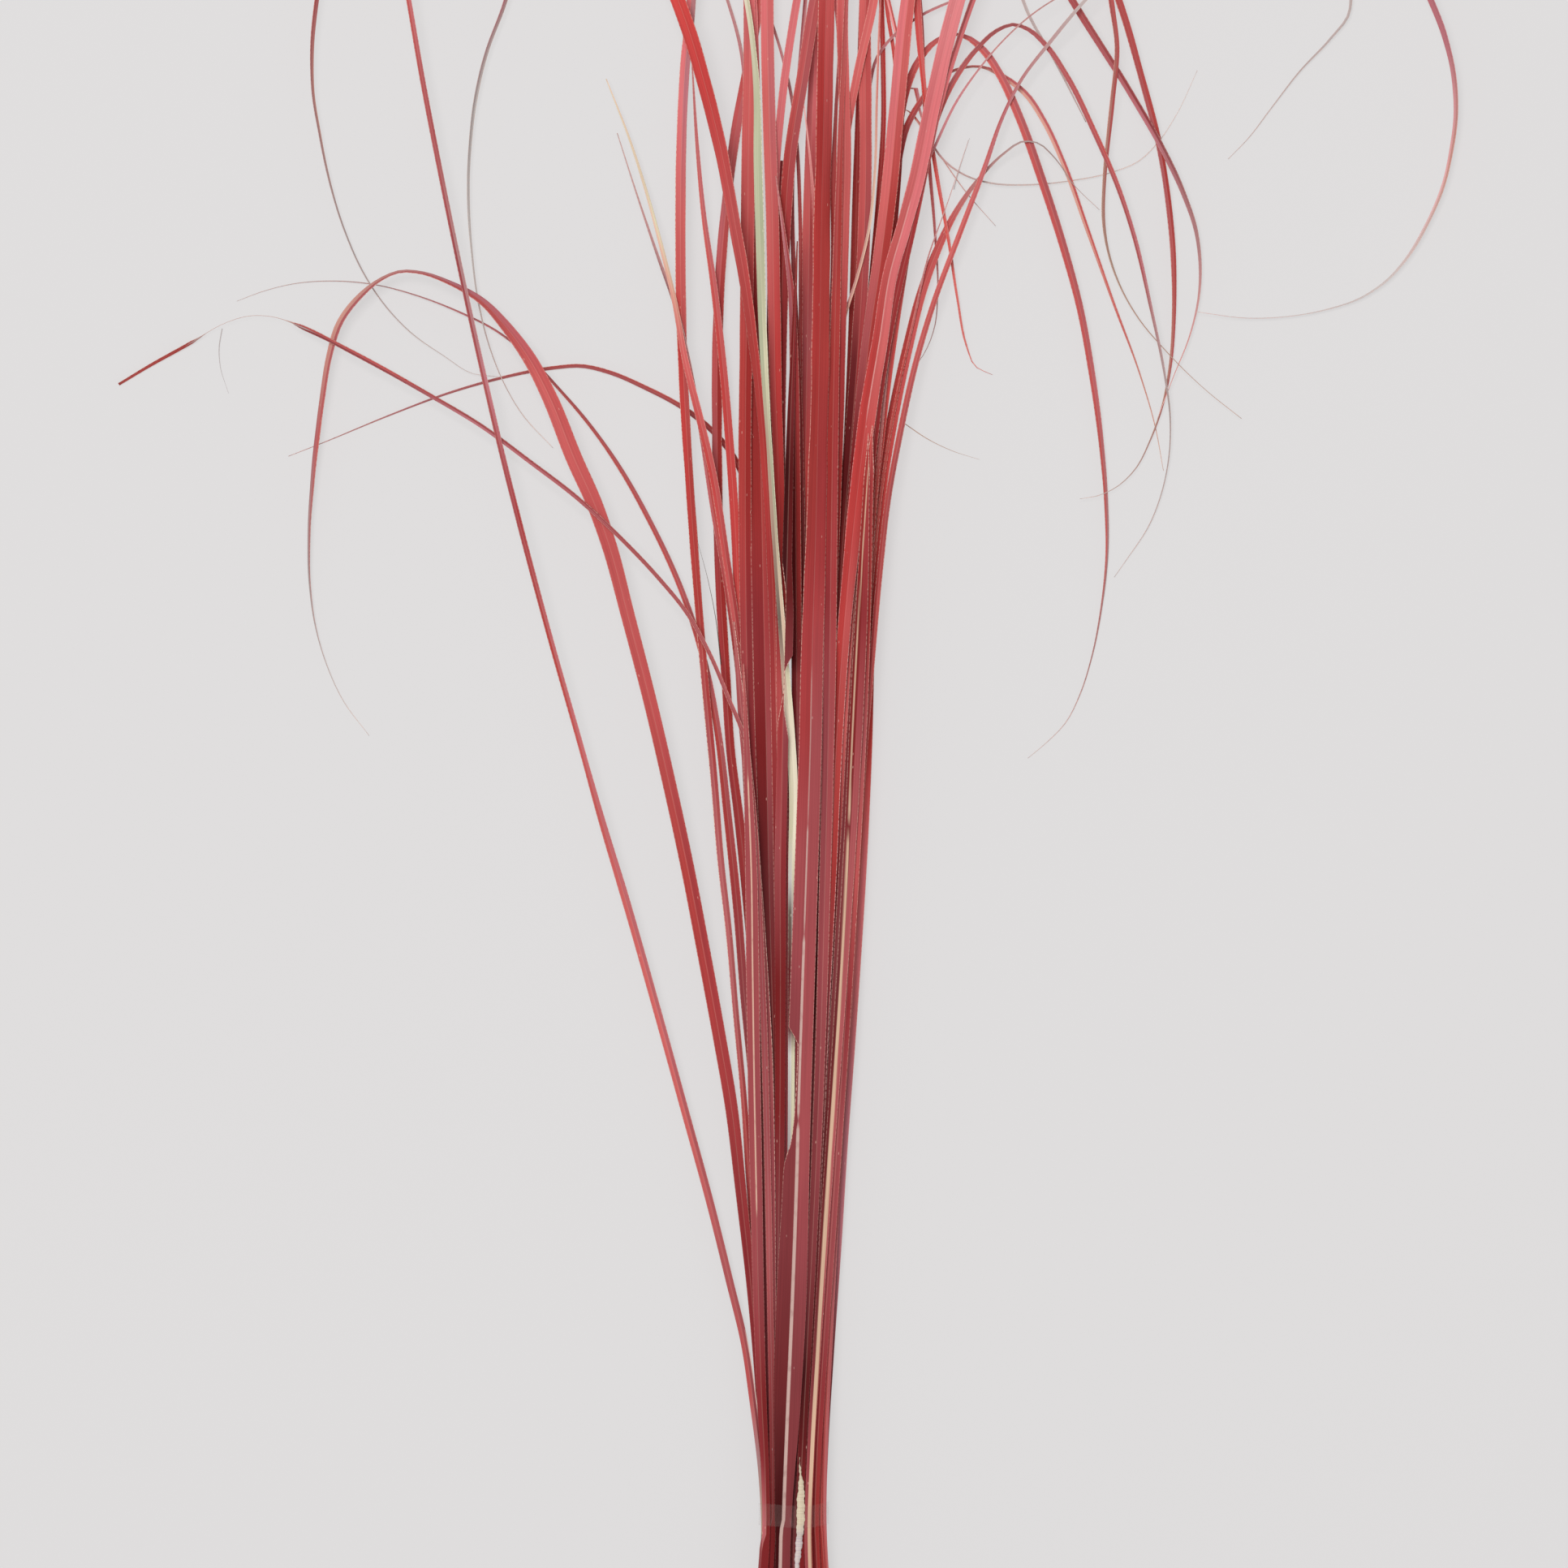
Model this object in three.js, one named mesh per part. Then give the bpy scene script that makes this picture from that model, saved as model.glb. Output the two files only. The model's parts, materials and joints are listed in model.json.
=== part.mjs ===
// A tied bundle of dyed pampas grass leaves lying on a table: red leaf blades and one
// undyed green blade, held near their cut butts by a clear elastic band.
// Millimetres, +Z up. The bundle lies along +Y, butts at the low end, tips at the high end.
// Each blade is one closed solid: a folded leaf strip swept along its own curved route.
import * as THREE from "three";

// ---- driving dimensions, mm ----
const BLADE_THICK = 0.5; // thickness at the midrib
const BLADE_FOLD = 0.16; // rise of the blade edges above the midrib, share of the half width
const BUTT_Y = -58; // cut ends, measured from the middle of the band
const BUTT_SPREAD = 1.4; // how far the cut ends fan out beyond the waist
const BAND_WIDTH = 7;
const BAND_THICK = 0.3;
const GAP = 0.3; // air between one blade and the next
const TWIST_FROM = 150; // blades lie flat below this and may stand on edge above TWIST_FULL
const TWIST_FULL = 330;
const CHORD_ERROR = 0.45; // how far a facet may cut across a bend
const LONGEST_FACET = 46;
const LENGTH_SCALE = 1; // stretches the bundle above the band
const SPREAD_SCALE = 1; // stretches the fan sideways
const WIDTH_SCALE = 1; // widens every blade

// ---- the blades, from the bottom of the pile to the top ----
// w: widest the blade gets. lift: how far it springs off the table. turn: which way it twists.
// route: [x, y, seen width]; where the seen width is less than the blade's own, it is twisted.
const RED = 0xa8343a;
const DARK = 0x6d1c22;
const BRIGHT = 0xc23a38;
const PINK = 0xc8686c;
const MAUVE = 0x93474c;
const GREEN = 0xb3b692;

const BLADES = [
  { name: "arch_left_thin", w: 2.4, lift: 4, color: RED, route: [[-3, 0, 2], [-5, 60, 2],
    [-6.5, 140, 2], [-8, 220, 2], [-10, 280, 2], [-12, 305, 1.6], [-17.5, 323.5, 1.5], [-22.5, 331, 1.4],
    [-30, 338.3, 1.2], [-40, 344.3, 1.1], [-50, 349.5, 0.9], [-60, 353.3, 0.8], [-68, 354.6, 0.7],
    [-80, 353, 0.7], [-90, 351, 0.6], [-100, 348.5, 0.6], [-120, 341.5, 0.5], [-140, 333.2, 0.4],
    [-157, 326.5, 0.3]] },
  { name: "core_right_dark", w: 4.2, lift: 2, color: DARK, route: [[4, 0, 3], [6.5, 80, 3.2],
    [9, 160, 3.4], [12.5, 250, 3.6], [16, 320, 3.4], [18, 365, 3.2], [18.8, 400, 2.8], [19.2, 425, 1.8],
    [19.8, 450, 1.2], [20.5, 480, 0.6]] },
  { name: "core_left_dark", w: 4.6, lift: 2, color: DARK, route: [[-5, 0, 3], [-8, 90, 3.4],
    [-12, 160, 3.6], [-17.5, 215, 3], [-19.7, 232, 2.8], [-21, 250, 2.8], [-22, 270, 3], [-23.2, 290, 3],
    [-23.7, 320, 3], [-24, 350, 3.2], [-23.4, 375, 3.2], [-21.8, 397, 3], [-19, 422, 3], [-16, 440, 3],
    [-12, 460, 2.8], [-5, 500, 2.6], [4, 555, 2], [12, 610, 0.6]] },
  { name: "core_centre_dark", w: 5, lift: 2, color: DARK, route: [[-1, 0, 3.4], [-2.5, 80, 4],
    [-5, 160, 4.4], [-6.5, 230, 4.8], [-7, 300, 5], [-6.5, 360, 4.8], [-6, 400, 4.2], [-5.5, 418, 3.4]] },
  { name: "core_mid_dark", w: 5, lift: 3, color: DARK, route: [[1, 0, 3.4], [1, 90, 4],
    [2, 180, 4.6], [3, 260, 5], [3.2, 330, 5], [4.5, 400, 4.4], [5.5, 440, 3.2], [7.5, 480, 2.2],
    [10, 530, 0.6]] },
  { name: "hook_right_back", w: 2.2, lift: 8, color: RED, route: [[7, 0, 1.8], [10, 90, 1.8],
    [13.5, 180, 2], [17, 260, 2], [20, 330, 2], [24, 385, 2], [27, 425, 1.6], [27, 450, 1.5],
    [26.6, 466, 1.6], [28, 490, 1.6], [36, 508, 1.4], [48, 513, 1.3], [60, 500, 1.2], [66, 483, 1.1],
    [71, 466, 1], [77, 455, 0.8], [83, 444, 0.6], [90, 430, 0.3]] },
  { name: "bright_cross_a", w: 1.8, lift: 4, color: BRIGHT, route: [[5, 0, 1.6], [9, 120, 1.6],
    [15, 240, 1.6], [22, 340, 1.6], [28, 400, 1.5], [31.5, 440, 1.4], [30.6, 450, 1.2],
    [28.8, 460, 1.2], [28, 470, 1.2], [27.5, 500, 1], [29, 530, 0.4]] },
  { name: "bright_cross_b", w: 1.8, lift: 5, color: BRIGHT, route: [[6, 0, 1.6], [10, 120, 1.6],
    [17, 240, 1.6], [24.5, 340, 1.6], [31, 400, 1.5], [33, 440, 1.3], [31.3, 457, 1.2],
    [28.8, 466, 1.2], [26, 478, 1.2], [21, 505, 0.9], [17, 530, 0.4]] },
  { name: "cross_left_a", w: 1.3, lift: 3, color: RED, route: [[0, 0, 1.2], [1, 120, 1.2],
    [1.5, 240, 1.3], [1.5, 340, 1.3], [1.5, 400, 1.2], [0.3, 425, 1.1], [-1.6, 440, 1], [-4, 450, 0.9],
    [-7, 459, 0.9], [-12, 475, 0.8], [-20, 500, 0.3]] },
  { name: "cross_left_b", w: 1.5, lift: 4, color: RED, route: [[-4, 0, 1.4], [-6, 120, 1.4],
    [-9, 240, 1.4], [-11.5, 340, 1.4], [-13, 400, 1.3], [-15, 435, 1.2], [-16.4, 450, 1.1],
    [-18.5, 459, 1.1], [-20.5, 466, 1], [-27, 485, 0.8], [-36, 505, 0.3]] },
  { name: "whisker_right_low", w: 1, lift: 6, color: DARK, route: [[8, 0, 1], [13, 120, 1],
    [18.5, 240, 1], [24, 340, 1], [30, 400, 0.9], [34, 434, 0.7], [36.5, 430.7, 0.6], [38, 428.5, 0.6],
    [43, 422, 0.6], [49, 413.5, 0.5], [56, 404, 0.5], [62, 397.6, 0.3]] },
  { name: "whisker_right_long", w: 1, lift: 9, color: PINK, route: [[7.5, 0, 1], [12, 120, 1],
    [17, 240, 1], [22.5, 340, 1], [28, 400, 1], [33, 436, 0.9], [36, 440.5, 0.8], [38.5, 433, 0.8],
    [41, 425.5, 0.7], [44, 420, 0.7], [48, 416, 0.6], [52, 413.5, 0.5], [57, 411.6, 0.5],
    [65, 410.4, 0.5], [80, 411, 0.4], [95, 413.7, 0.4], [105, 417, 0.4], [113, 424.5, 0.4],
    [120, 436, 0.3], [124.5, 446, 0.3]] },
  { name: "hook_right_small", w: 1.1, lift: 5, color: DARK, route: [[4.5, 0, 1], [8, 120, 1],
    [13, 240, 1], [18, 340, 1], [21, 400, 1], [24, 446, 1], [27.5, 453, 0.9], [31.5, 456.8, 0.9],
    [38.5, 462.3, 0.9], [46, 466, 0.8], [60, 471, 0.7], [78, 474, 0.3]] },
  { name: "rise_narrow_mid", w: 1.6, lift: 5, color: RED, route: [[2, 0, 1.4], [2.5, 120, 1.4],
    [3, 240, 1.5], [1.5, 340, 1.5], [-1, 400, 1.4], [-0.5, 425, 1.3], [1.4, 447, 1.3], [3, 466, 1.2],
    [6, 500, 1], [11, 545, 0.3]] },
  { name: "arch_right_inner", w: 2.4, lift: 7, color: RED, route: [[6, 0, 2], [10, 120, 2],
    [16, 240, 2], [22.5, 340, 2.2], [29, 400, 2.2], [33.5, 425, 2.1], [36, 431.5, 1.9], [40, 437.8, 1.6],
    [43, 441.8, 1], [46, 444.2, 0.7], [50, 446, 0.6], [57, 446.9, 0.6], [62, 445, 1.2], [67, 442, 1.7],
    [72, 437.5, 1.8], [79, 426, 1.7], [86, 409, 1.5], [94, 386, 1.2], [100, 370, 0.9], [108, 348, 0.6],
    [113, 329, 0.4], [114, 322, 0.3]] },
  { name: "arch_right_main", w: 3.2, lift: 9, color: RED, route: [[5, 0, 2.4], [9, 120, 2.5],
    [14, 240, 2.6], [20, 330, 2.8], [25, 378, 2.8], [29, 405, 2.6], [32.5, 430, 2.4], [36, 444, 2.3],
    [40, 450.7, 2], [44, 454.5, 1.6], [47.5, 456.2, 1.1], [50, 456.3, 1], [54, 454.7, 2], [58, 451.3, 2.3],
    [62, 445.8, 2.5], [67, 436, 2.6], [73, 420.5, 2.7], [80, 400, 2.6], [84, 387, 2.4], [88, 372, 2.2],
    [92, 350, 2], [94, 335, 1.7], [95.6, 320, 1.4], [96.4, 300, 1.1], [96, 290, 0.9], [93, 270, 0.6],
    [89, 255, 0.5], [83, 243, 0.4], [72, 233, 0.3]] },
  { name: "hang_right_inner", w: 4, lift: 12, color: RED, route: [[-2, 0, 2.8], [-3, 100, 3.2],
    [-4, 200, 3.6], [-5, 300, 3.8], [-4.5, 365, 4], [-3.3, 395, 3.9], [-2.3, 413, 3.9], [-0.5, 425, 3.9],
    [2.6, 445, 3.8], [6, 466, 3.8], [12, 492, 3.2], [20, 506, 2.4], [29, 505, 1.8], [35, 488, 1.5],
    [38.2, 466, 1.4], [38.9, 450, 1.4], [40, 430, 1.3], [41.4, 415, 1.2], [42.6, 403, 1.1],
    [43.6, 386, 0.9], [44, 376, 0.6], [43.2, 367, 0.5], [40, 358.5, 0.4], [36.4, 353.4, 0.3]] },
  { name: "arch_left_long", w: 3.2, lift: 6, color: RED, route: [[-6.5, 0, 2.4], [-8.5, 60, 2.5],
    [-12, 120, 2.6], [-15.8, 160, 2.6], [-17.3, 180, 2.7], [-19.3, 200, 2.8], [-22, 225, 2.9],
    [-24.5, 245, 2.9], [-27, 258, 2.8], [-31, 273, 2.6], [-35, 284.5, 2.4], [-40, 295.5, 2.2],
    [-50, 315.5, 1.9], [-60, 331, 1.5], [-70, 343.5, 1.2], [-79, 353, 1], [-88, 362, 0.9],
    [-100, 369, 0.8], [-110, 373.5, 0.7], [-120, 377, 0.6], [-130, 379.5, 0.5], [-145, 380.7, 0.5],
    [-160, 379, 0.4], [-173, 374.5, 0.3]] },
  { name: "hang_left_outer", w: 3.6, lift: 12, color: RED, route: [[-7.5, 0, 2.4], [-9.5, 50, 2.4],
    [-14, 100, 2.2], [-15.3, 120, 2], [-17, 140, 1.9], [-18.9, 160, 1.9], [-20.6, 180, 2], [-22.9, 200, 2.1],
    [-24.5, 220, 2.2], [-27.3, 250, 2.3], [-29.7, 280, 2.4], [-31.2, 300, 2.5], [-33.8, 340, 2.8],
    [-35, 370, 3], [-35.3, 400, 3.2], [-34.3, 440, 3], [-32, 466, 2.9], [-32, 490, 2.6], [-38, 512, 2.3],
    [-50, 524, 2], [-64, 521, 1.7], [-77, 502, 1.3], [-86, 480, 1.1], [-90, 466, 1], [-95, 453, 0.9],
    [-99.5, 434, 0.8], [-101, 415, 0.7], [-101, 400, 0.6], [-97.5, 371, 0.5], [-92, 353, 0.4],
    [-85, 340, 0.4], [-75, 329, 0.3]] },
  { name: "tip_left_dark", w: 1.6, lift: 6, color: DARK, route: [[-5.5, 0, 1.4], [-8, 100, 1.4],
    [-13, 200, 1.5], [-19, 270, 1.5], [-25.5, 310, 1.5], [-31, 345, 1.4], [-36.3, 370, 1.3],
    [-40, 380.5, 1.1], [-45, 396, 0.8], [-50, 410, 0.5], [-55, 426, 0.3]] },
  { name: "rise_left_bright", w: 3, lift: 5, color: BRIGHT, route: [[-4.5, 0, 2.2], [-8, 100, 2.4],
    [-13.5, 200, 2.6], [-17.3, 275, 2.8], [-18.6, 305, 2.8], [-20.3, 330, 2.7], [-22, 350, 2.5],
    [-23.7, 367, 2.3], [-26, 385, 2], [-28.2, 400, 1.6], [-29.7, 415, 1.3], [-31, 432, 0.9],
    [-31.8, 447, 0.4]] },
  { name: "tip_left_cream", w: 2.6, lift: 8, color: RED, route: [[-6, 0, 2], [-8.5, 100, 2],
    [-11.5, 180, 2.2], [-15.5, 250, 2.3], [-17, 265, 2.3], [-19.8, 285, 2.3], [-23, 305, 2.4],
    [-26.3, 325, 2.4], [-28.8, 335, 2.4], [-31.5, 346, 2.2], [-34, 356, 2], [-37.5, 375, 1.6],
    [-40, 385, 1.4], [-42.5, 396, 1.2], [-46, 408, 0.9], [-50, 421, 0.7], [-55.5, 435, 0.4],
    [-58.5, 443, 0.3]] },
  { name: "edge_right_low", w: 4, lift: 2, color: MAUVE, route: [[8.2, 0, 2.6], [10, 40, 2.8],
    [13.2, 90, 3.2], [15, 120, 3.3], [17.2, 150, 3.4], [19.5, 185, 3.4], [21.5, 220, 3.3], [22.7, 250, 3],
    [23.5, 280, 2.8], [24.8, 305, 2.8], [27.6, 328, 2.6], [31.2, 345, 2.6], [34, 362, 2.2],
    [37, 376, 1.5], [40.5, 392, 0.6]] },
  { name: "arch_right_short", w: 4.2, lift: 7, color: RED, route: [[7.2, 0, 2.6], [11, 80, 2.8],
    [16, 170, 3], [20.5, 240, 3.2], [23.5, 285, 3.3], [26, 312, 3.4], [28.6, 330, 3.5], [32, 347, 3.5],
    [35.2, 362, 3.2], [38, 373, 3], [41, 383, 2.8], [45, 392.5, 2.5], [49.5, 401.5, 2.1], [55, 409.5, 1.6],
    [60, 415.6, 1.1], [65, 420, 0.9], [72.5, 423.5, 0.7], [80, 418.5, 0.6], [87, 409, 0.4],
    [94, 402.5, 0.3]] },
  { name: "hang_right_bright", w: 3, lift: 14, color: PINK, route: [[-0.5, 0, 2], [-1, 100, 2.2],
    [-2.5, 200, 2.4], [-5, 300, 2.4], [-6.3, 370, 2.3], [-6.3, 408, 2.2], [-5.4, 422, 2.3],
    [-3.7, 440, 2.4], [-1.5, 455, 2.4], [0.3, 466, 2.4], [6, 490, 2.4], [15, 508, 2.3], [27, 508, 2.3],
    [34.5, 490, 2.4], [37.5, 466, 2.4], [38.2, 455, 2.2], [38.8, 448, 1.4], [40, 437, 1.3], [42, 424, 1.3],
    [43.7, 413, 1.3], [46, 399.5, 1.3], [48, 389.5, 1.3], [50, 376, 1.2], [52, 365, 1.1], [54, 357.5, 0.9],
    [56, 354, 0.5], [61, 351.7, 0.3]] },
  { name: "whisker_right_mauve", w: 1.1, lift: 9, color: DARK, route: [[9, 0, 1], [13, 100, 1],
    [19, 200, 1], [23.8, 290, 1], [29.5, 335, 1], [35.2, 362, 0.9], [38, 375, 0.8], [40, 384, 0.7],
    [42, 390.8, 0.7], [45.5, 400.5, 0.6], [48, 407, 0.4], [50, 413, 0.3], [53.5, 424, 0.3]] },
  { name: "hang_right_outer_a", w: 4.6, lift: 14, color: MAUVE, route: [[1.8, 0, 2.8], [3.5, 80, 3.2],
    [7, 160, 3.6], [11, 240, 4], [15.5, 310, 4.2], [18.8, 350, 4], [20.6, 380, 4], [21.6, 400, 3.8],
    [21.8, 430, 3.7], [21.8, 466, 3.6], [25, 495, 3.4], [37, 520, 3], [55, 530, 2.6], [75, 518, 2.4],
    [90, 491, 2.3], [100, 466, 2.2], [103, 456, 2.2], [109, 435, 2.1], [113, 419, 2], [116.3, 395, 1.8],
    [117, 380, 1.5], [116.5, 360, 1.2], [114, 344, 0.9], [110, 332, 0.7], [104, 321, 0.5],
    [96, 315, 0.4], [88, 313.2, 0.3]] },
  { name: "whisker_cream_right", w: 1.2, lift: 7, color: PINK, route: [[3, 0, 1], [4.5, 100, 1],
    [7, 200, 1.1], [10, 290, 1.2], [12.5, 345, 1.2], [15, 368, 1.1], [18, 377.5, 1], [20.5, 386.5, 0.9],
    [22.5, 395, 0.9], [24, 407, 0.8], [24.8, 425, 0.8], [25.4, 450, 0.9], [26.2, 466, 0.8], [28, 500, 0.3]] },
  { name: "twist_right_pale", w: 3.6, lift: 6, color: PINK, route: [[4, 0, 2.2], [6, 100, 2.4],
    [9, 200, 2.6], [11.5, 300, 2.6], [12.3, 370, 2.4], [14, 410, 2.2], [16.6, 431, 2.4], [19, 443, 2.6],
    [21.8, 455, 2.8], [24.5, 468, 2.6], [29, 500, 2], [33, 540, 0.5]] },
  { name: "rise_right_thin", w: 3.2, lift: 5, color: RED, route: [[0.5, 0, 2.2], [1.5, 100, 2.2],
    [4.5, 200, 2.4], [8.2, 290, 2.6], [10.8, 350, 2.8], [12, 380, 2.4], [11.8, 400, 2.1], [11.6, 415, 1.6],
    [12.3, 432, 1], [13.5, 455, 1.2], [12.6, 466, 1.4], [11, 500, 1], [11.5, 540, 0.3]] },
  { name: "hang_right_outer_b", w: 4.2, lift: 15, color: RED, route: [[2.6, 0, 2.6], [4, 80, 3],
    [6.5, 160, 3.2], [9.5, 240, 3.6], [12, 310, 3.8], [13.4, 360, 3.8], [14.6, 395, 3.6], [15.2, 425, 3.4],
    [14.6, 445, 3.4], [14.5, 466, 3.6], [18, 492, 3.4], [28, 508, 3], [44, 513, 2.6], [60, 504, 2.3],
    [74, 485, 2.1], [86, 466, 2], [95, 452, 1.9], [105, 436, 1.8], [113, 422, 1.7], [119, 410, 1.5],
    [124, 396, 1.2], [125.3, 380, 0.9], [122.5, 365, 0.6], [117, 351, 0.4], [112, 338, 0.3]] },
  { name: "hang_right_v", w: 5.4, lift: 15, color: PINK, route: [[4.4, 0, 3], [7, 90, 3.4],
    [11, 180, 3.8], [15, 260, 4], [19, 320, 4.2], [22.6, 360, 4.4], [25.5, 380, 4.8], [28.2, 400, 5],
    [30.6, 425, 4.8], [32.6, 445, 4.6], [34.8, 466, 4.4], [40, 492, 3.8], [51, 513, 3.2], [67, 520, 2.7],
    [83, 508, 2.3], [93, 486, 2], [97, 466, 1.7], [98.8, 455, 1.6], [98, 440, 1.5], [96, 420, 1.3],
    [95, 400, 1], [97.5, 386, 0.7], [104, 372, 0.5], [112, 361.5, 0.4], [120, 353.5, 0.4],
    [130, 344, 0.3], [138, 338, 0.3]] },
  { name: "arch_right_outer", w: 2.6, lift: 12, color: PINK, route: [[6.4, 0, 1.8], [10, 100, 2],
    [16, 200, 2], [22, 290, 2.2], [28.5, 350, 2.2], [34.5, 390, 2.2], [40, 418, 2.1], [44.5, 433, 1.9],
    [48.3, 441, 1.7], [52.5, 447.7, 1.5], [56.5, 452.4, 1.3], [60.5, 456.2, 1.1], [64, 458.6, 0.8],
    [68, 459.4, 0.7], [74, 456.5, 1.1], [82, 446.5, 1.5], [90, 431, 1.6], [97, 415.5, 1.5],
    [103, 400, 1.3], [108, 380, 1], [113, 358, 0.7], [116, 338, 0.5], [115, 322, 0.4], [110, 306, 0.4],
    [98.7, 289, 0.3]] },
  { name: "lean_right_thin", w: 2.2, lift: 11, color: PINK, route: [[8.8, 0, 1.6], [12, 80, 1.7],
    [17, 170, 1.8], [22.5, 250, 1.8], [29, 315, 1.8], [35, 345, 1.9], [39.6, 364, 1.8], [45, 379.5, 1.6],
    [50, 393, 1.7], [53.5, 402, 1.7], [57, 411, 1.6], [60, 420, 1.4], [63.5, 429.5, 1.1], [67, 437.5, 0.9],
    [72, 445.5, 1], [78, 453, 1.1], [89, 466, 1.1], [104, 480, 1], [124, 490, 0.8], [146, 492, 0.3]] },
  { name: "lean_right_whisker", w: 1.3, lift: 14, color: DARK, route: [[7.8, 0, 1.1], [11, 100, 1.1],
    [17.5, 210, 1.1], [24.5, 310, 1.1], [32, 385, 1], [37.8, 410, 1], [43, 421.5, 0.9], [46, 428, 0.8],
    [50, 436, 0.8], [54, 442.2, 0.7], [57, 446, 0.7], [60, 450, 0.6], [66, 456, 0.7], [72, 461.5, 0.7],
    [79, 466, 0.7], [92, 473, 0.6], [108, 476, 0.3]] },
  { name: "hang_right_slender", w: 2.8, lift: 16, color: RED, route: [[5.4, 0, 2], [9, 100, 2.1],
    [14.5, 200, 2.2], [21, 300, 2.3], [28, 360, 2.4], [35, 392, 2.4], [38.2, 406, 2.3], [41.8, 424, 2.2],
    [46, 441, 1.9], [49.6, 452, 1.8], [54.5, 466, 1.7], [64, 490, 1.6], [79, 510, 1.4], [101, 522, 1.3],
    [126, 521, 1.2], [149, 507, 1.1], [165, 486, 1], [172, 466, 0.9], [168.5, 459, 0.8], [160, 450, 0.7],
    [150, 438, 0.5], [143, 428, 0.4], [134, 418.5, 0.3]] },
  { name: "hang_right_great", w: 6, lift: 18, color: PINK, route: [[3.6, 0, 3], [6, 90, 3.2],
    [8.6, 150, 3.4], [11, 200, 3.6], [13, 245, 3.8], [15.4, 280, 4.2], [18.2, 308, 4.8], [21.4, 335, 5.2],
    [25.8, 362, 5], [29.6, 385, 4.6], [34.8, 402, 4.6], [38.6, 418, 4.8], [42, 435, 4.9], [45, 448, 4.9],
    [49.5, 466, 5], [58, 492, 4.6], [73, 518, 4], [96, 540, 3.4], [124, 548, 2.9], [152, 538, 2.5],
    [174, 514, 2.1], [188, 489, 1.7], [196.7, 466, 1.4], [201.5, 453.5, 1.3], [204, 441, 1.2],
    [204.3, 432, 1.1], [202.5, 418.5, 0.9], [200, 408.5, 0.8], [193, 393.5, 0.7], [185, 382.5, 0.6],
    [175, 375.3, 0.5], [160, 370.8, 0.4], [142, 369, 0.4], [124, 371, 0.3]] },
  { name: "back_left_medium", w: 5.2, lift: 4, color: MAUVE, route: [[-4, 0, 3], [-5, 70, 3.6],
    [-6.6, 140, 4], [-8, 190, 4.4], [-9, 240, 4.8], [-10, 290, 5], [-11, 340, 5], [-12, 390, 4.6],
    [-12.6, 430, 4], [-13.5, 470, 3], [-15.5, 520, 2], [-18, 560, 0.5]] },
  { name: "front_left_upper", w: 4.8, lift: 6, color: RED, route: [[-6.6, 0, 3], [-9, 80, 3.4],
    [-11, 150, 3.6], [-13, 210, 3.6], [-14.9, 262, 3.8], [-15.3, 300, 4], [-15.2, 345, 3.9],
    [-14.8, 385, 4.2], [-14.5, 425, 4.1], [-14.2, 466, 3.6], [-16.5, 510, 3], [-21, 560, 2],
    [-27, 605, 0.5]] },
  { name: "hang_left_great", w: 5, lift: 18, color: BRIGHT, route: [[-1.5, 0, 3], [-2.5, 80, 3.4],
    [-4.2, 160, 3.6], [-5.6, 230, 3.4], [-6.8, 285, 2.6], [-8, 308, 2.4], [-9.4, 328, 2.4], [-11.4, 350, 2.5],
    [-14, 371, 3], [-17.3, 391, 3.4], [-21, 411, 3.8], [-25, 430, 4.2], [-30.4, 449, 4.3],
    [-36, 466, 4.3], [-46, 487, 4], [-62, 507, 3.5], [-84, 521, 3], [-108, 524, 2.5], [-130, 511, 1.9],
    [-143, 490, 1.3], [-148, 466, 0.9], [-149.5, 450, 0.8], [-148.8, 435, 0.7], [-146.5, 423, 0.6],
    [-143, 407, 0.5], [-137, 390, 0.4], [-130, 377, 0.4], [-120, 365.5, 0.4], [-110, 358.3, 0.3],
    [-100, 352, 0.3], [-92, 351, 0.3]] },
  { name: "front_mid_mauve", w: 4.6, lift: 7, color: PINK, route: [[-3, 0, 2.8], [-3.2, 80, 3.2],
    [-3.6, 160, 3.4], [-4, 230, 3.4], [-4.8, 290, 3.2], [-5.6, 330, 3.2], [-6.4, 350, 3.8], [-6.8, 385, 4],
    [-7.4, 410, 4], [-8.2, 435, 4], [-8.7, 466, 4], [-8, 510, 3.4], [-5, 565, 2.4], [0, 620, 0.6]] },
  { name: "front_centre_streak", w: 3.4, lift: 6, color: MAUVE, route: [[-0.2, 0, 2.4], [0.4, 90, 2.8],
    [0.8, 180, 3], [0.4, 260, 3.2], [0, 320, 3.2], [-0.4, 355, 2.8], [-1.4, 378, 2], [-3.2, 392, 1.3],
    [-5, 403, 0.8], [-6, 412, 0.3]] },
  { name: "tip_centre_pink", w: 2, lift: 6, color: PINK, route: [[1.2, 0, 1.6], [2.5, 100, 1.8],
    [4, 200, 2], [5.5, 300, 2], [6.4, 360, 1.8], [6, 395, 1.4], [5, 413, 0.8], [3.8, 424, 0.6],
    [2.7, 434, 0.3]] },
  { name: "front_right_band", w: 4.4, lift: 5, color: MAUVE, route: [[1.4, 0, 2.6], [3.6, 50, 2.8],
    [6, 100, 3], [7.9, 150, 3.2], [9.2, 200, 3.6], [10.3, 250, 3.9], [11, 300, 3.8], [11.6, 345, 3.4],
    [12.6, 385, 2.6], [13.6, 420, 1.8], [15, 455, 1.2], [17, 500, 0.4]] },
  { name: "green_undyed", w: 3.4, lift: 9, color: GREEN, route: [[-2.2, 0, 2], [-2.2, 60, 2],
    [-1.4, 110, 2], [-1.2, 145, 2.1], [-1.2, 180, 2.2], [-0.9, 210, 2.4], [-0.7, 228, 2.8],
    [-1.7, 242, 2.9], [-3, 258, 2.5], [-4.6, 282, 2], [-6.1, 302, 1.8], [-7.4, 322, 1.7], [-8.6, 341, 1.8],
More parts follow.
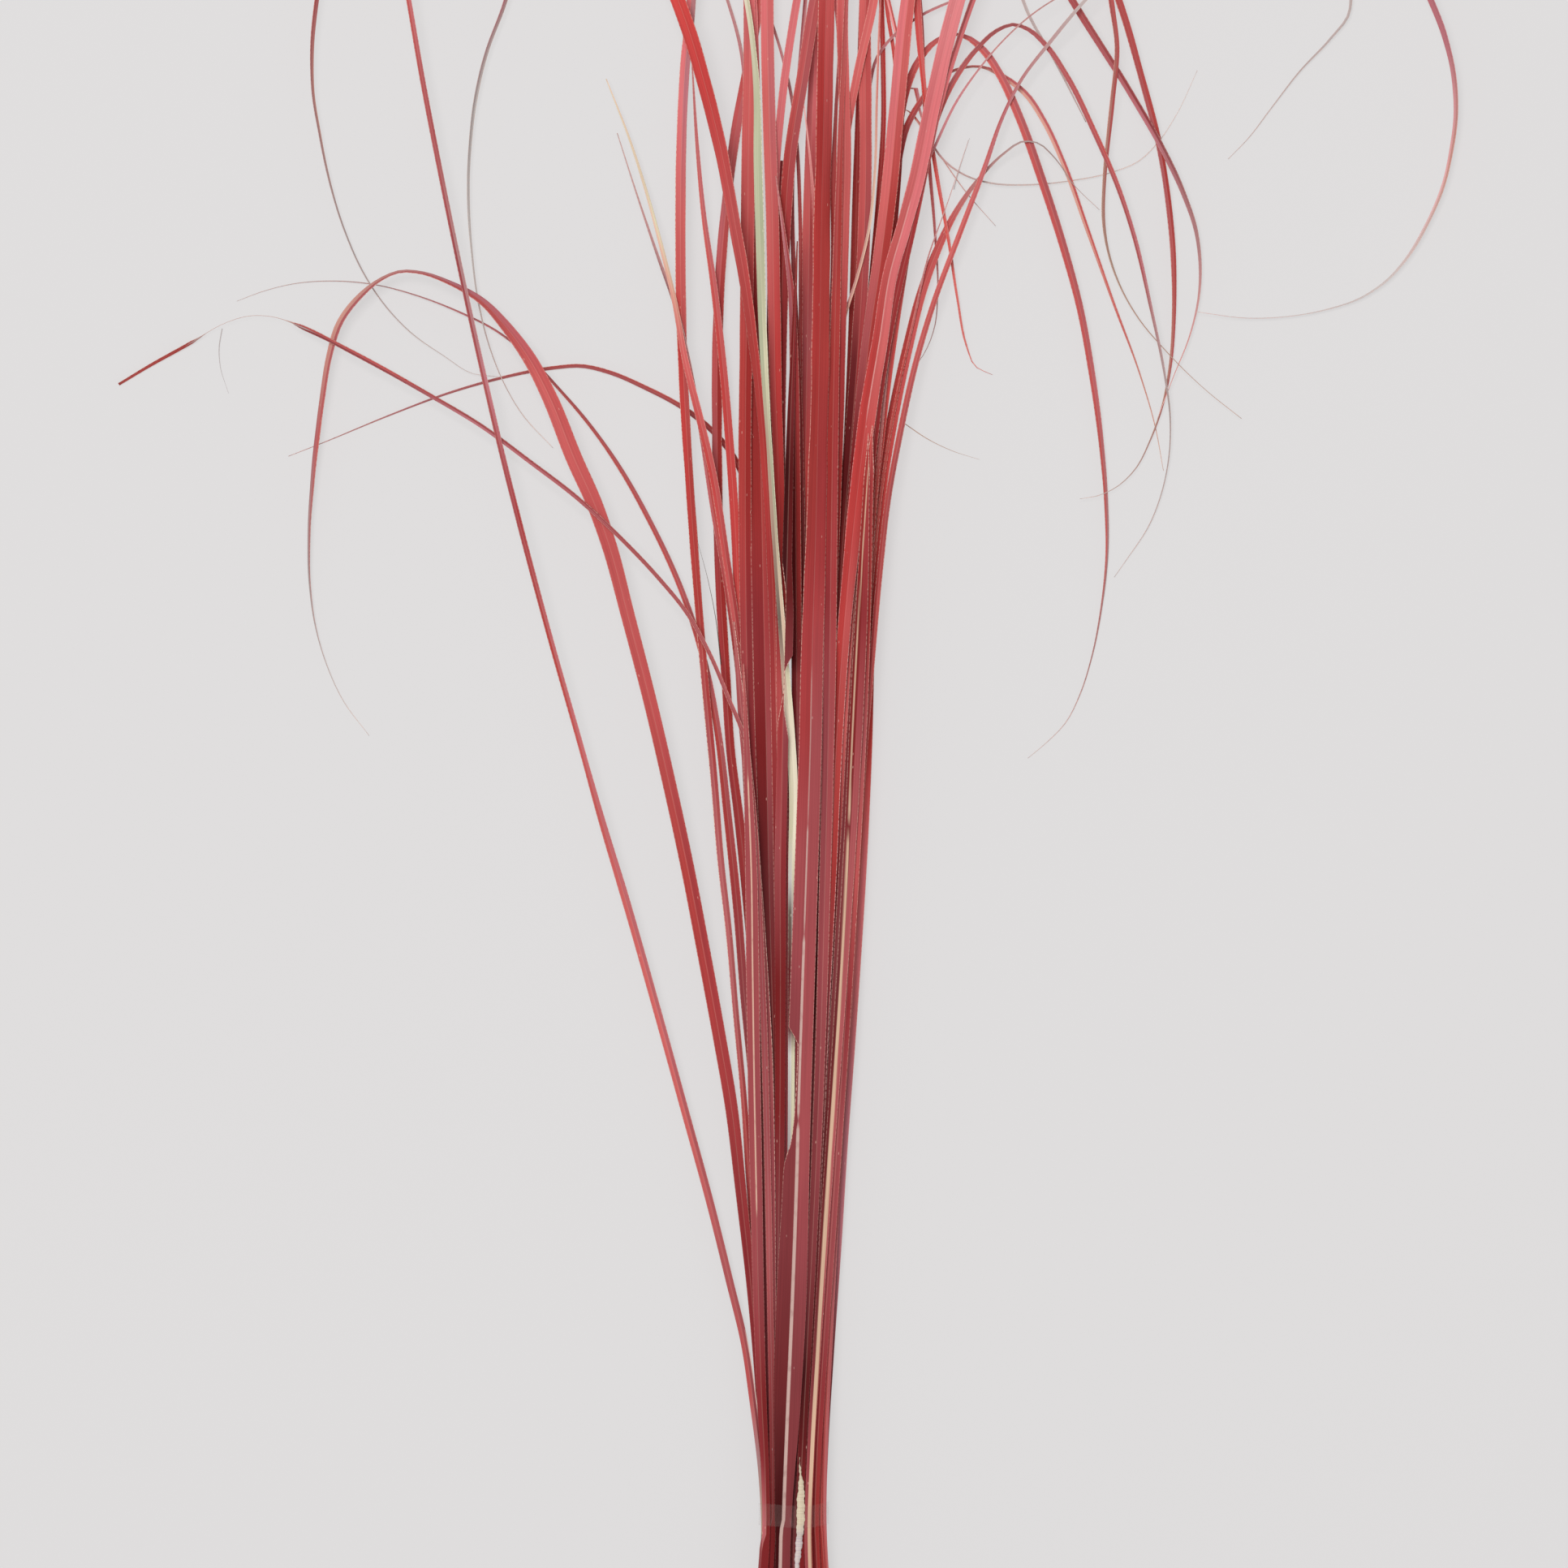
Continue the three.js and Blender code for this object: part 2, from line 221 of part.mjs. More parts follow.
    [-9.8, 362, 2.4], [-10.4, 382, 2.6], [-11.2, 405, 2.7], [-11.7, 430, 2.4], [-11.9, 440, 2],
    [-12.5, 450, 1.5], [-13.8, 460, 1.5], [-15, 467, 1.5], [-19, 495, 2], [-24, 540, 1.6],
    [-28, 590, 0.4]] },
  { name: "front_dark_sliver", w: 4, lift: 3, color: DARK, route: [[-5.4, 0, 2.4], [-5.6, 50, 2.6],
    [-5, 100, 3], [-4.6, 150, 3.4], [-4.6, 200, 3.6], [-3.6, 250, 3.4], [-2.4, 300, 3], [-1.2, 345, 2],
    [0.2, 378, 0.8], [0.6, 392, 0.4]] },
  { name: "front_right_pale_edge", w: 4.2, lift: 6, color: RED, route: [[6, 0, 2.6], [8.6, 50, 2.8],
    [12, 100, 3], [14.6, 140, 3.1], [17, 180, 3.3], [19.2, 220, 3.4], [21, 260, 3.4], [22.2, 300, 3],
    [23.6, 335, 2], [26.6, 365, 1.2], [30, 390, 0.5]] },
  { name: "stripe_right_cream", w: 5, lift: 6, color: RED, route: [[4, 0, 2.4], [6.6, 50, 2.6],
    [9.8, 100, 2.9], [12.6, 140, 3.2], [15.2, 180, 3.6], [17.5, 220, 4], [19.4, 260, 4.2],
    [20.8, 290, 3.4], [21.6, 312, 2.2], [22.2, 330, 1.2], [22.8, 345, 0.5]] },
  { name: "front_left_rough", w: 4.4, lift: 3, color: RED, route: [[-6.6, 0, 2.2], [-7.2, 50, 2.6],
    [-7.8, 100, 3.2], [-8.6, 140, 3.3], [-9.9, 165, 3.2], [-11.6, 190, 3.2], [-13.4, 215, 3.1],
    [-15.3, 235, 2.8], [-17, 252, 2.2], [-19, 275, 0.5]] },
  { name: "arch_left_great", w: 5.2, lift: 14, color: RED, route: [[-9, 0, 2], [-10.4, 25, 2.4],
    [-12, 50, 2.4], [-13.7, 70, 2.8], [-15.8, 90, 3.2], [-18, 110, 3.7], [-20.4, 130, 4], [-24, 150, 4.1],
    [-27.7, 170, 4.2], [-31.3, 190, 4.2], [-35.6, 210, 4.2], [-39.9, 230, 4.2], [-44.6, 250, 4.2], [-49.8, 270, 4.3],
    [-55, 290, 4.5], [-60.5, 308, 4.9], [-66, 320, 5.1], [-71.5, 334, 5.1], [-78.5, 350, 4.5],
    [-85, 360, 3.8], [-93, 370, 2.8], [-98.5, 375, 2.2], [-105, 378.5, 1.6], [-112, 381.5, 1.1],
    [-120, 383, 1], [-126, 381.3, 1.2], [-132, 377.4, 1.8], [-137, 372, 2.1], [-140.5, 367, 2.1],
    [-142.8, 360, 2], [-145, 350, 1.9], [-147.6, 330, 1.6], [-149.9, 310, 1.2], [-150.3, 295, 0.9],
    [-149.5, 280, 0.6], [-147.5, 270, 0.5], [-144.3, 260, 0.4], [-139.5, 250, 0.4], [-132, 240, 0.3]] },
  { name: "arch_left_cut", w: 2.4, lift: 16, blunt: true, color: RED, route: [[-7, 0, 2], [-8, 80, 2],
    [-10, 160, 2.1], [-13, 220, 2.1], [-16.3, 241, 2.1], [-20, 250, 2], [-24, 260, 2], [-30, 272, 2],
    [-35, 280, 2], [-40, 286, 2], [-50, 297, 2], [-60, 306.5, 2], [-70, 315.5, 2], [-80, 323, 2],
    [-90, 330.5, 2], [-100, 337.5, 2], [-120, 349, 2], [-140, 360, 2], [-152, 366, 1.4],
    [-160, 369, 0.6], [-166, 370, 0.6], [-172, 369, 0.6], [-180, 366, 0.6], [-187, 361.6, 1.4],
    [-200, 354.5, 1.6], [-209.5, 348.8, 1.6]] },
  { name: "lean_left_straight", w: 2.8, lift: 12, color: RED, route: [[-9.6, 0, 1.8], [-10.2, 10, 2],
    [-11.5, 22, 2.2], [-13.2, 36, 2.3], [-15.2, 50, 2.3], [-17.7, 60, 2.3], [-22.3, 80, 2.4],
    [-27.5, 100, 2.4], [-38.5, 140, 2.5], [-49.6, 180, 2.5], [-60, 215, 2.6], [-63, 226, 2.5], [-75.5, 270, 2.4],
    [-91, 330, 2.4], [-104.5, 390, 2.3], [-114.5, 440, 2.3], [-119, 466, 2.2], [-125, 500, 2],
    [-132, 535, 1.4], [-142, 570, 0.5]] },
  { name: "front_left_dashed", w: 5, lift: 3, color: MAUVE, route: [[-8.9, 0, 2.4], [-10, 25, 2.8],
    [-10.8, 50, 3.2], [-11.7, 80, 3.6], [-12.2, 110, 3.9], [-12.8, 140, 4], [-13.2, 170, 4],
    [-13.6, 200, 3.7], [-14.4, 222, 2.8], [-15.2, 243, 1.6], [-16, 262, 0.4]] },
  { name: "front_right_great", w: 7.6, lift: 10, color: RED, route: [[-3.6, 0, 4.6], [-2.9, 20, 5.4],
    [-1.6, 50, 7.4], [-0.4, 80, 7.6], [0.6, 110, 7.5], [1.4, 140, 7.6], [2.4, 170, 7.5], [3.4, 200, 7.3],
    [4.4, 230, 7.1], [5, 260, 6.9], [5.8, 290, 6.4], [6.5, 320, 5.9], [7, 350, 5.3], [7.6, 380, 5.2],
    [8, 410, 5], [8.8, 440, 4.9], [9.3, 466, 4.9], [11, 515, 4.4], [15, 575, 3.2], [21, 640, 0.6]] },
];

// ---- helpers ----
const hash = (i, k) => {
  const v = Math.sin(i * 127.1 + k * 311.7) * 43758.5453;
  return v - Math.floor(v);
};
const clamp = (v, lo, hi) => Math.min(hi, Math.max(lo, v));
const smooth = (a, b, v) => {
  const u = clamp((v - a) / (b - a), 0, 1);
  return u * u * (3 - 2 * u);
};

// The whole route of a blade: its cut butt below the band, then the route above it.
function fullRoute(blade, index) {
  const scaled = blade.route.map(([x, y, w]) => [x * SPREAD_SCALE, y * LENGTH_SCALE, w * WIDTH_SCALE]);
  const [x0, , w0] = scaled[0];
  const jitter = (hash(index, 1) - 0.5) * 2.4;
  const cut = BUTT_Y + (hash(index, 2) - 0.5) * 9;
  const low = [x0 * BUTT_SPREAD + jitter, cut, w0 * 1.15];
  const middle = [x0 * 1.1 + jitter * 0.2, -20, w0 * 1.05];
  return [low, middle, ...scaled];
}

// Stations along the route, close together where it bends: {x, y, seen, s}.
function stationsOf(blade, index) {
  const route = fullRoute(blade, index);
  const curve = new THREE.CatmullRomCurve3(
    route.map(([x, y, w]) => new THREE.Vector3(x, y, w)),
    false,
    "centripetal",
  );
  const fine = curve.getPoints(route.length * 16);
  const s = [0];
  for (let i = 1; i < fine.length; i++)
    s.push(s[i - 1] + Math.hypot(fine[i].x - fine[i - 1].x, fine[i].y - fine[i - 1].y));
  const need = [0];
  for (let i = 1; i < fine.length; i++) {
    const a = fine[Math.max(0, i - 5)];
    const b = fine[i];
    const c = fine[Math.min(fine.length - 1, i + 5)];
    const turn = Math.abs(Math.atan2(
      (b.x - a.x) * (c.y - b.y) - (b.y - a.y) * (c.x - b.x),
      (b.x - a.x) * (c.x - b.x) + (b.y - a.y) * (c.y - b.y),
    ));
    const arm = (Math.hypot(c.x - a.x, c.y - a.y) || 1) / 2;
    const density = 1 / LONGEST_FACET + Math.sqrt(turn / arm / (8 * CHORD_ERROR));
    need.push(need[i - 1] + density * (s[i] - s[i - 1]));
  }
  const count = Math.max(8, Math.ceil(need[need.length - 1]));
  const out = [];
  for (let k = 0, i = 1; k <= count; k++) {
    const goal = (need[need.length - 1] * k) / count;
    while (i < fine.length - 1 && need[i] < goal) i++;
    const u = clamp((goal - need[i - 1]) / (need[i] - need[i - 1] || 1), 0, 1);
    out.push({
      x: fine[i - 1].x + (fine[i].x - fine[i - 1].x) * u,
      y: fine[i - 1].y + (fine[i].y - fine[i - 1].y) * u,
      seen: Math.max(0.28, fine[i - 1].z + (fine[i].z - fine[i - 1].z) * u),
      s: s[i - 1] + (s[i] - s[i - 1]) * u,
    });
  }
  return out;
}

// Cross-section at each station: four corners (left edge, midrib top, right edge, midrib
// underside) as offsets across the route and up, before the blade is laid.
function sectionsOf(blade, index, stations) {
  const length = stations[stations.length - 1].s;
  const side = blade.turn ?? (hash(index, 3) < 0.5 ? -1 : 1);
  return stations.map((p, i) => {
    const a = stations[Math.max(0, i - 1)];
    const b = stations[Math.min(stations.length - 1, i + 1)];
    const run = Math.hypot(b.x - a.x, b.y - a.y) || 1;
    const across = [(b.y - a.y) / run, -(b.x - a.x) / run];
    const u = p.s / length;
    const taper = blade.blunt ? 1 : Math.sqrt(clamp((1 - u) * 2.4, 0.004, 1));
    const own = Math.max(p.seen, blade.w * WIDTH_SCALE * taper * smooth(TWIST_FROM, TWIST_FULL, p.y));
    const folded = own > p.seen ? Math.min(own, p.seen * 3.2) : own;
    const roll = side * Math.acos(clamp(p.seen / folded, 0.12, 1));
    const half = folded / 2;
    const rise = half * BLADE_FOLD;
    const thick = Math.max(0.2, BLADE_THICK * clamp(folded / 2.2, 0.45, 1));
    const flat = [[-half, rise], [0, thick * 0.55], [half, rise], [0, -thick * 0.45]];
    return flat.map(([c, h]) => {
      const cc = c * Math.cos(roll) - h * Math.sin(roll);
      const hh = c * Math.sin(roll) + h * Math.cos(roll);
      return [p.x + across[0] * cc, p.y + across[1] * cc, hh];
    });
  });
}

// Triangles of a swept strip of n rings with four corners each, as [ring, corner] triples.
function stripFaces(n) {
  const faces = [];
  for (let i = 0; i < n - 1; i++)
    for (let k = 0; k < 4; k++) {
      const m = (k + 1) % 4;
      if (k < 2) faces.push([[i, k], [i, m], [i + 1, m]], [[i, k], [i + 1, m], [i + 1, k]]);
      else faces.push([[i, k], [i, m], [i + 1, k]], [[i, m], [i + 1, m], [i + 1, k]]);
    }
  faces.push([[0, 0], [0, 2], [0, 1]], [[0, 0], [0, 3], [0, 2]]);
  const e = n - 1;
  faces.push([[e, 0], [e, 1], [e, 2]], [[e, 0], [e, 2], [e, 3]]);
  return faces;
}

// ---- the pile: a height map of everything laid so far ----
const CELL = 0.6;
const MARGIN = 0.5;
const X_LOW = -290;
const Y_LOW = -80;
const COLUMNS = Math.ceil(590 / CELL);
const ROWS = Math.ceil(900 / CELL);
const pile = new Float32Array(COLUMNS * ROWS);
for (let r = 0; r < ROWS; r++) {
  const y = Y_LOW + (r + 0.5) * CELL;
  if (Math.abs(y) < BAND_WIDTH / 2 + 2.5) pile.fill(BAND_THICK, r * COLUMNS, (r + 1) * COLUMNS);
}

// Weights of the point of a triangle nearest to (x, y) in plan, or null if it is too far.
function nearestWeights(x, y, a, b, c) {
  const area = (b[0] - a[0]) * (c[1] - a[1]) - (b[1] - a[1]) * (c[0] - a[0]);
  if (Math.abs(area) > 1e-6) {
    const u = ((b[0] - x) * (c[1] - y) - (b[1] - y) * (c[0] - x)) / area;
    const v = ((c[0] - x) * (a[1] - y) - (c[1] - y) * (a[0] - x)) / area;
    if (u >= 0 && v >= 0 && u + v <= 1) return [u, v, 1 - u - v];
  }
  let best = MARGIN * MARGIN;
  let found = null;
  const corners = [a, b, c];
  for (let k = 0; k < 3; k++) {
    const p = corners[k];
    const q = corners[(k + 1) % 3];
    const dx = q[0] - p[0];
    const dy = q[1] - p[1];
    const t = clamp(((x - p[0]) * dx + (y - p[1]) * dy) / (dx * dx + dy * dy || 1), 0, 1);
    const d = (p[0] + dx * t - x) ** 2 + (p[1] + dy * t - y) ** 2;
    if (d <= best) {
      best = d;
      found = [0, 0, 0];
      found[k] = 1 - t;
      found[(k + 1) % 3] = t;
    }
  }
  return found;
}

// Calls visit(cell, weights) for every cell of the height map near a triangle.
function overTriangle(a, b, c, visit) {
  const c0 = Math.floor((Math.min(a[0], b[0], c[0]) - MARGIN - X_LOW) / CELL);
  const c1 = Math.floor((Math.max(a[0], b[0], c[0]) + MARGIN - X_LOW) / CELL);
  const r0 = Math.floor((Math.min(a[1], b[1], c[1]) - MARGIN - Y_LOW) / CELL);
  const r1 = Math.floor((Math.max(a[1], b[1], c[1]) + MARGIN - Y_LOW) / CELL);
  for (let r = Math.max(0, r0); r <= Math.min(ROWS - 1, r1); r++)
    for (let q = Math.max(0, c0); q <= Math.min(COLUMNS - 1, c1); q++) {
      const x = X_LOW + (q + 0.5) * CELL;
      const y = Y_LOW + (r + 0.5) * CELL;
      const weights = nearestWeights(x, y, a, b, c);
      if (weights) visit(r * COLUMNS + q, weights);
    }
}

// Lays one blade on the pile: finds smooth station heights that clear everything below it.
function layBlade(blade, stations, sections) {
  const n = stations.length;
  const faces = stripFaces(n);
  const length = stations[n - 1].s;
  const limits = Array.from({ length: n }, () => []);
  for (const face of faces) {
    const [a, b, c] = face.map(([i, k]) => sections[i][k]);
    const low = Math.min(face[0][0], face[1][0], face[2][0]);
    overTriangle(a, b, c, (cell, w) => {
      const floor = pile[cell] > 0 ? pile[cell] + GAP : 0;
      const above = w[0] * a[2] + w[1] * b[2] + w[2] * c[2];
      let share = 0;
      for (let k = 0; k < 3; k++) if (face[k][0] > low) share += w[k];
      limits[low].push([share, floor - above]);
    });
  }
  const z = stations.map((p) => {
    const u = p.s / length;
    return blade.lift * Math.sin(Math.PI * clamp((u - 0.12) / 0.88, 0, 1)) ** 1.5;
  });
  const rest = z.slice();
  const clear = () => {
    for (let i = 0; i < n; i++)
      for (const [share, need] of limits[i]) {
        const j = Math.min(n - 1, i + 1);
        const short = need - ((1 - share) * z[i] + share * z[j]);
        if (short > 0) {
          const norm = (1 - share) ** 2 + share ** 2;
          z[i] += (short * (1 - share)) / norm;
          z[j] += (short * share) / norm;
        }
      }
  };
  for (let pass = 0; pass < 160; pass++) {
    for (let i = 1; i < n - 1; i++) {
      const before = stations[i].s - stations[i - 1].s;
      const after = stations[i + 1].s - stations[i].s;
      const line = (z[i - 1] * after + z[i + 1] * before) / (before + after);
      const bent = rest[i] - (rest[i - 1] * after + rest[i + 1] * before) / (before + after);
      z[i] += 0.5 * (line + bent - z[i]) + 0.05 * (rest[i] - z[i]);
    }
    z[0] += 0.5 * (z[1] - z[0]) + 0.1 * (rest[0] - z[0]);
    z[n - 1] += 0.3 * (z[n - 2] + rest[n - 1] - rest[n - 2] - z[n - 1]);
    clear();
  }
  const solid = sections.map((ring, i) => ring.map(([x, y, h]) => [x, y, h + z[i]]));
  for (const face of faces) {
    const [a, b, c] = face.map(([i, k]) => solid[i][k]);
    overTriangle(a, b, c, (cell, w) => {
      pile[cell] = Math.max(pile[cell], w[0] * a[2] + w[1] * b[2] + w[2] * c[2]);
    });
  }
  return { faces, solid };
}

function meshOf(name, color, roughness, triangles) {
  const geometry = new THREE.BufferGeometry();
  geometry.setAttribute("position", new THREE.Float32BufferAttribute(triangles.flat(2), 3));
  geometry.computeVertexNormals();
  const material = new THREE.MeshStandardMaterial({ color, roughness, metalness: 0 });
  const mesh = new THREE.Mesh(geometry, material);
  mesh.name = name;
  return mesh;
}

// The clear band: a closed loop around every blade where they cross the waist.
function bandTriangles(laid) {
  const points = [];
  const edge = BAND_WIDTH / 2 + 0.6;
  for (const { faces, solid } of laid)
    for (const face of faces)
      for (let k = 0; k < 3; k++) {
        const p = solid[face[k][0]][face[k][1]];
        const q = solid[face[(k + 1) % 3][0]][face[(k + 1) % 3][1]];
        for (const y of [-edge, 0, edge])
          if ((p[1] - y) * (q[1] - y) <= 0 && p[1] !== q[1]) {
            const t = (y - p[1]) / (q[1] - p[1]);
            points.push([p[0] + (q[0] - p[0]) * t, p[2] + (q[2] - p[2]) * t]);
          }
      }
  const sides = 36;
  const reach = [];
  for (let k = 0; k < sides; k++) {
    const t = (2 * Math.PI * k) / sides;
    reach.push(Math.max(...points.map(([x, z]) => x * Math.cos(t) + z * Math.sin(t))));
  }
  const loop = (extra) => reach.map((_, k) => {
    const m = (k + 1) % sides;
    const t = (2 * Math.PI * k) / sides;
    const s = (2 * Math.PI * m) / sides;
    const a = reach[k] + extra;
    const b = reach[m] + extra;
    const det = Math.sin(s - t);
    return [(a * Math.sin(s) - b * Math.sin(t)) / det, (b * Math.cos(t) - a * Math.cos(s)) / det];
  });
  const inner = loop(GAP);
  const outer = loop(GAP + BAND_THICK);
  const y0 = -BAND_WIDTH / 2;
  const y1 = BAND_WIDTH / 2;
  const out = [];
  const quad = (a, b, c, d) => out.push([a, b, c], [a, c, d]);
  for (let k = 0; k < sides; k++) {
    const m = (k + 1) % sides;
    const at = (loopPoints, i, y) => [loopPoints[i][0], y, loopPoints[i][1]];
    quad(at(outer, k, y0), at(outer, k, y1), at(outer, m, y1), at(outer, m, y0));
    quad(at(inner, m, y0), at(inner, m, y1), at(inner, k, y1), at(inner, k, y0));
    quad(at(outer, m, y0), at(inner, m, y0), at(inner, k, y0), at(outer, k, y0));
    quad(at(outer, k, y1), at(inner, k, y1), at(inner, m, y1), at(outer, m, y1));
  }
  return out;
}

// ---- assembly ----
const group = new THREE.Group();
const laid = [];
BLADES.forEach((blade, index) => {
  const stations = stationsOf(blade, index);
  const sections = sectionsOf(blade, index, stations);
  const placed = layBlade(blade, stations, sections);
  laid.push(placed);
  const triangles = placed.faces.map((face) => face.map(([i, k]) => placed.solid[i][k]));
  group.add(meshOf("leaf_" + blade.name, blade.color, 0.72, triangles));
});
group.add(meshOf("tie_band", 0xd8d2cc, 0.2, bandTriangles(laid)));

// Origin at the bottom middle of the whole bundle.
const box = new THREE.Box3().setFromObject(group);
group.position.set(
  -(box.min.x + box.max.x) / 2,
  -(box.min.y + box.max.y) / 2,
  -box.min.z,
);

export default group;
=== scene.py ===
"""A tied bundle of dyed pampas grass leaves lying on a table, seen from straight above.

Each CAD blade gives the route, width and twist of one leaf. The leaf that stands for it is a
finer surface on the same route: two laminae folded along a midrib, thinner towards their edges.
"""

import json

import bpy
import numpy as np
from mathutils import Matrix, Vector


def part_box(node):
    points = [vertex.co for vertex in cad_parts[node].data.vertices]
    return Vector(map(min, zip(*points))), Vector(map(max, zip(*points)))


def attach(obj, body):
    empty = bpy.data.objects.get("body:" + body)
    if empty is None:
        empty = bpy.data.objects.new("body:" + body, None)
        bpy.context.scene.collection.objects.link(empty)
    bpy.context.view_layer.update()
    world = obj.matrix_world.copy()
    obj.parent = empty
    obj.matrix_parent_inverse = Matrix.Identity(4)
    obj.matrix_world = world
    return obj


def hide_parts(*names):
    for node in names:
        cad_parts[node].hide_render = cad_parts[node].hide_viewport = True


MM = 0.001  # metres
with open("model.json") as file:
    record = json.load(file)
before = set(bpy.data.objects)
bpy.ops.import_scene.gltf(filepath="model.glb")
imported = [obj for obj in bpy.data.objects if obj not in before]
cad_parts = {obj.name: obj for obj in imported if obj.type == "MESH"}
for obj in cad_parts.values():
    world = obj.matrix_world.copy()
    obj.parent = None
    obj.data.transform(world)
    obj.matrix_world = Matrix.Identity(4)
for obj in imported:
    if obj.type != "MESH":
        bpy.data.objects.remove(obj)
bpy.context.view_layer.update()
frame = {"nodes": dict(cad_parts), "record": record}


# ---------------------------------------------------------------- colour and node helpers
def linear(code):
    """An sRGB hex colour such as "a8343a" as linear red, green and blue."""
    s = np.array([int(code[i : i + 2], 16) / 255 for i in (0, 2, 4)])
    return np.where(s <= 0.04045, s / 12.92, ((s + 0.055) / 1.055) ** 2.4)


def rgba(code):
    """The same colour as a socket wants it, fully opaque."""
    return (*linear(code), 1.0)


def add(tree, kind, inputs=None, **settings):
    """Adds one node: settings are its own properties, inputs are values or links by socket."""
    made = tree.nodes.new(kind)
    for key, value in settings.items():
        setattr(made, key, value)
    for key, value in (inputs or {}).items():
        socket = made.inputs[key]
        if isinstance(value, bpy.types.NodeSocket):
            tree.links.new(value, socket)
        else:
            socket.default_value = value
    return made


def new_material(name):
    """An empty material and its node tree."""
    material = bpy.data.materials.new(name)
    material.use_nodes = True
    material.node_tree.nodes.clear()
    return material, material.node_tree


# ---------------------------------------------------------------- materials
SATIN = 0.08  # the broken dry skin of the leaf gives back little gloss
WAX_IOR = 1.45  # the leaf's own wax
TABLE_GLOW = 0.765  # strength of the light under the opal sheet


def dyed_leaf():
    """Dried grass leaf, dip-dyed: matt to satin, darker lengthwise veins, a pale midrib, pale
    saw-toothed edges where the dye did not take, and small pale flecks of bare fibre."""
    material, tree = new_material("dried_leaf_dip_dyed")
    grain = add(tree, "ShaderNodeUVMap", uv_map="grain").outputs[0]  # across and along, mm
    split = add(tree, "ShaderNodeSeparateXYZ", {0: grain})
    across, along = split.outputs[0], split.outputs[1]
    # besides the dye, this colour holds painted light and shade: near-black shade deep in the pile, halves
    # lit and shaded, lighter leaves where they lie in shade
    dye = add(tree, "ShaderNodeAttribute", attribute_name="dye").outputs["Color"]
    fibre = add(tree, "ShaderNodeAttribute", attribute_name="bare")
    bare, rib_half = fibre.outputs["Color"], fibre.outputs["Alpha"]  # half-width of midrib, mm
    lamina = add(tree, "ShaderNodeAttribute", attribute_name="lamina").outputs["Vector"]
    marks = add(tree, "ShaderNodeSeparateXYZ", {0: lamina})
    edge, rib, saw = marks.outputs[0], marks.outputs[1], marks.outputs[2]

    def maths(operation, a, b=0.5, c=0.5):
        """One sum on numbers or sockets."""
        return add(tree, "ShaderNodeMath", {0: a, 1: b, 2: c}, operation=operation).outputs[0]

    def ramp(value, low, high, to_low=0.0, to_high=1.0):
        """A soft step from to_low at low to to_high at high."""
        return add(
            tree,
            "ShaderNodeMapRange",
            {"Value": value, "From Min": low, "From Max": high, "To Min": to_low, "To Max": to_high},
            interpolation_type="SMOOTHSTEP",
        ).outputs[0]

    def on_leaf(across_per_mm, along_per_mm):
        """The place on the leaf, scaled across and along."""
        scaled = {0: maths("MULTIPLY", across, across_per_mm), 1: maths("MULTIPLY", along, along_per_mm)}
        return add(tree, "ShaderNodeCombineXYZ", scaled).outputs[0]

    def streaks(across_per_mm, along_per_mm):
        """Noise stretched along the leaf, about one streak to each 1 / across_per_mm mm."""
        place = on_leaf(across_per_mm, along_per_mm)
        noise = {"Vector": place, "Scale": 1.0, "Detail": 2.0}
        return add(tree, "ShaderNodeTexNoise", noise).outputs[0]

    veins = streaks(2.2, 0.012)  # vein bundles about 0.45 mm apart
    fine = streaks(6.0, 0.05)  # single veins, drawn 0.17 mm apart so that they show
    cloud = streaks(0.12, 0.022)  # uneven dye every 45 mm
    tone = maths("MULTIPLY_ADD", ramp(veins, 0.3, 0.7), 0.16, 0.92)
    tone = maths("MULTIPLY", tone, maths("MULTIPLY_ADD", fine, 0.20, 0.90))
    tone = maths("MULTIPLY", tone, maths("MULTIPLY_ADD", cloud, 0.28, 0.86))
    shade = add(tree, "ShaderNodeVectorMath", {0: dye, "Scale": tone}, operation="SCALE").outputs[0]

    # saw teeth, about one a millimetre
    teeth_at = add(tree, "ShaderNodeCombineXYZ", {1: maths("MULTIPLY", along, 1.1)}).outputs[0]
    dots = add(tree, "ShaderNodeTexNoise", {"Vector": teeth_at, "Scale": 1.0}).outputs[0]
    rim = maths("MULTIPLY", ramp(edge, 0.26, 0.06), saw)
    rim = maths("MULTIPLY", rim, ramp(dots, 0.36, 0.60, 0.15, 1.0))
    from_rib = maths("DIVIDE", maths("ABSOLUTE", across), maths("MAXIMUM", rib_half, 0.02))
    keel = maths("MULTIPLY", ramp(from_rib, 1.25, 0.7), rib)
    keel = maths("MULTIPLY", keel, ramp(streaks(0.4, 0.25), 0.2, 0.5, 0.6, 1.0))
    spots = {"Vector": on_leaf(0.42, 0.11), "Scale": 1.0}  # a bare fleck to each 2.4 by 9 mm
    flecks = add(tree, "ShaderNodeTexVoronoi", spots).outputs["Distance"]
    fleck = maths("MULTIPLY", ramp(flecks, 0.065, 0.03), 0.55)
    pale = maths("MINIMUM", maths("MAXIMUM", maths("MAXIMUM", rim, keel), fleck), 1.0)
    # the colour sockets of a Mix node stand at places 6 and 7, its colour result at 2
    colour = add(tree, "ShaderNodeMix", {0: pale, 6: shade, 7: bare}, data_type="RGBA")
    height = maths("MULTIPLY_ADD", fine, 0.4, maths("MULTIPLY", veins, 0.6))
    relief = {"Height": height, "Strength": 0.25, "Distance": 0.06 * MM}
    bump = add(tree, "ShaderNodeBump", relief).outputs[0]
    rough = maths("MULTIPLY_ADD", veins, 0.14, 0.50)
    skin = add(
        tree,
        "ShaderNodeBsdfPrincipled",
        {
            "Base Color": colour.outputs[2],
            "Roughness": rough,
            "Normal": bump,
            "Specular IOR Level": SATIN,
            "IOR": WAX_IOR,
        },
    ).outputs[0]
    add(tree, "ShaderNodeOutputMaterial", {"Surface": skin})
    return material


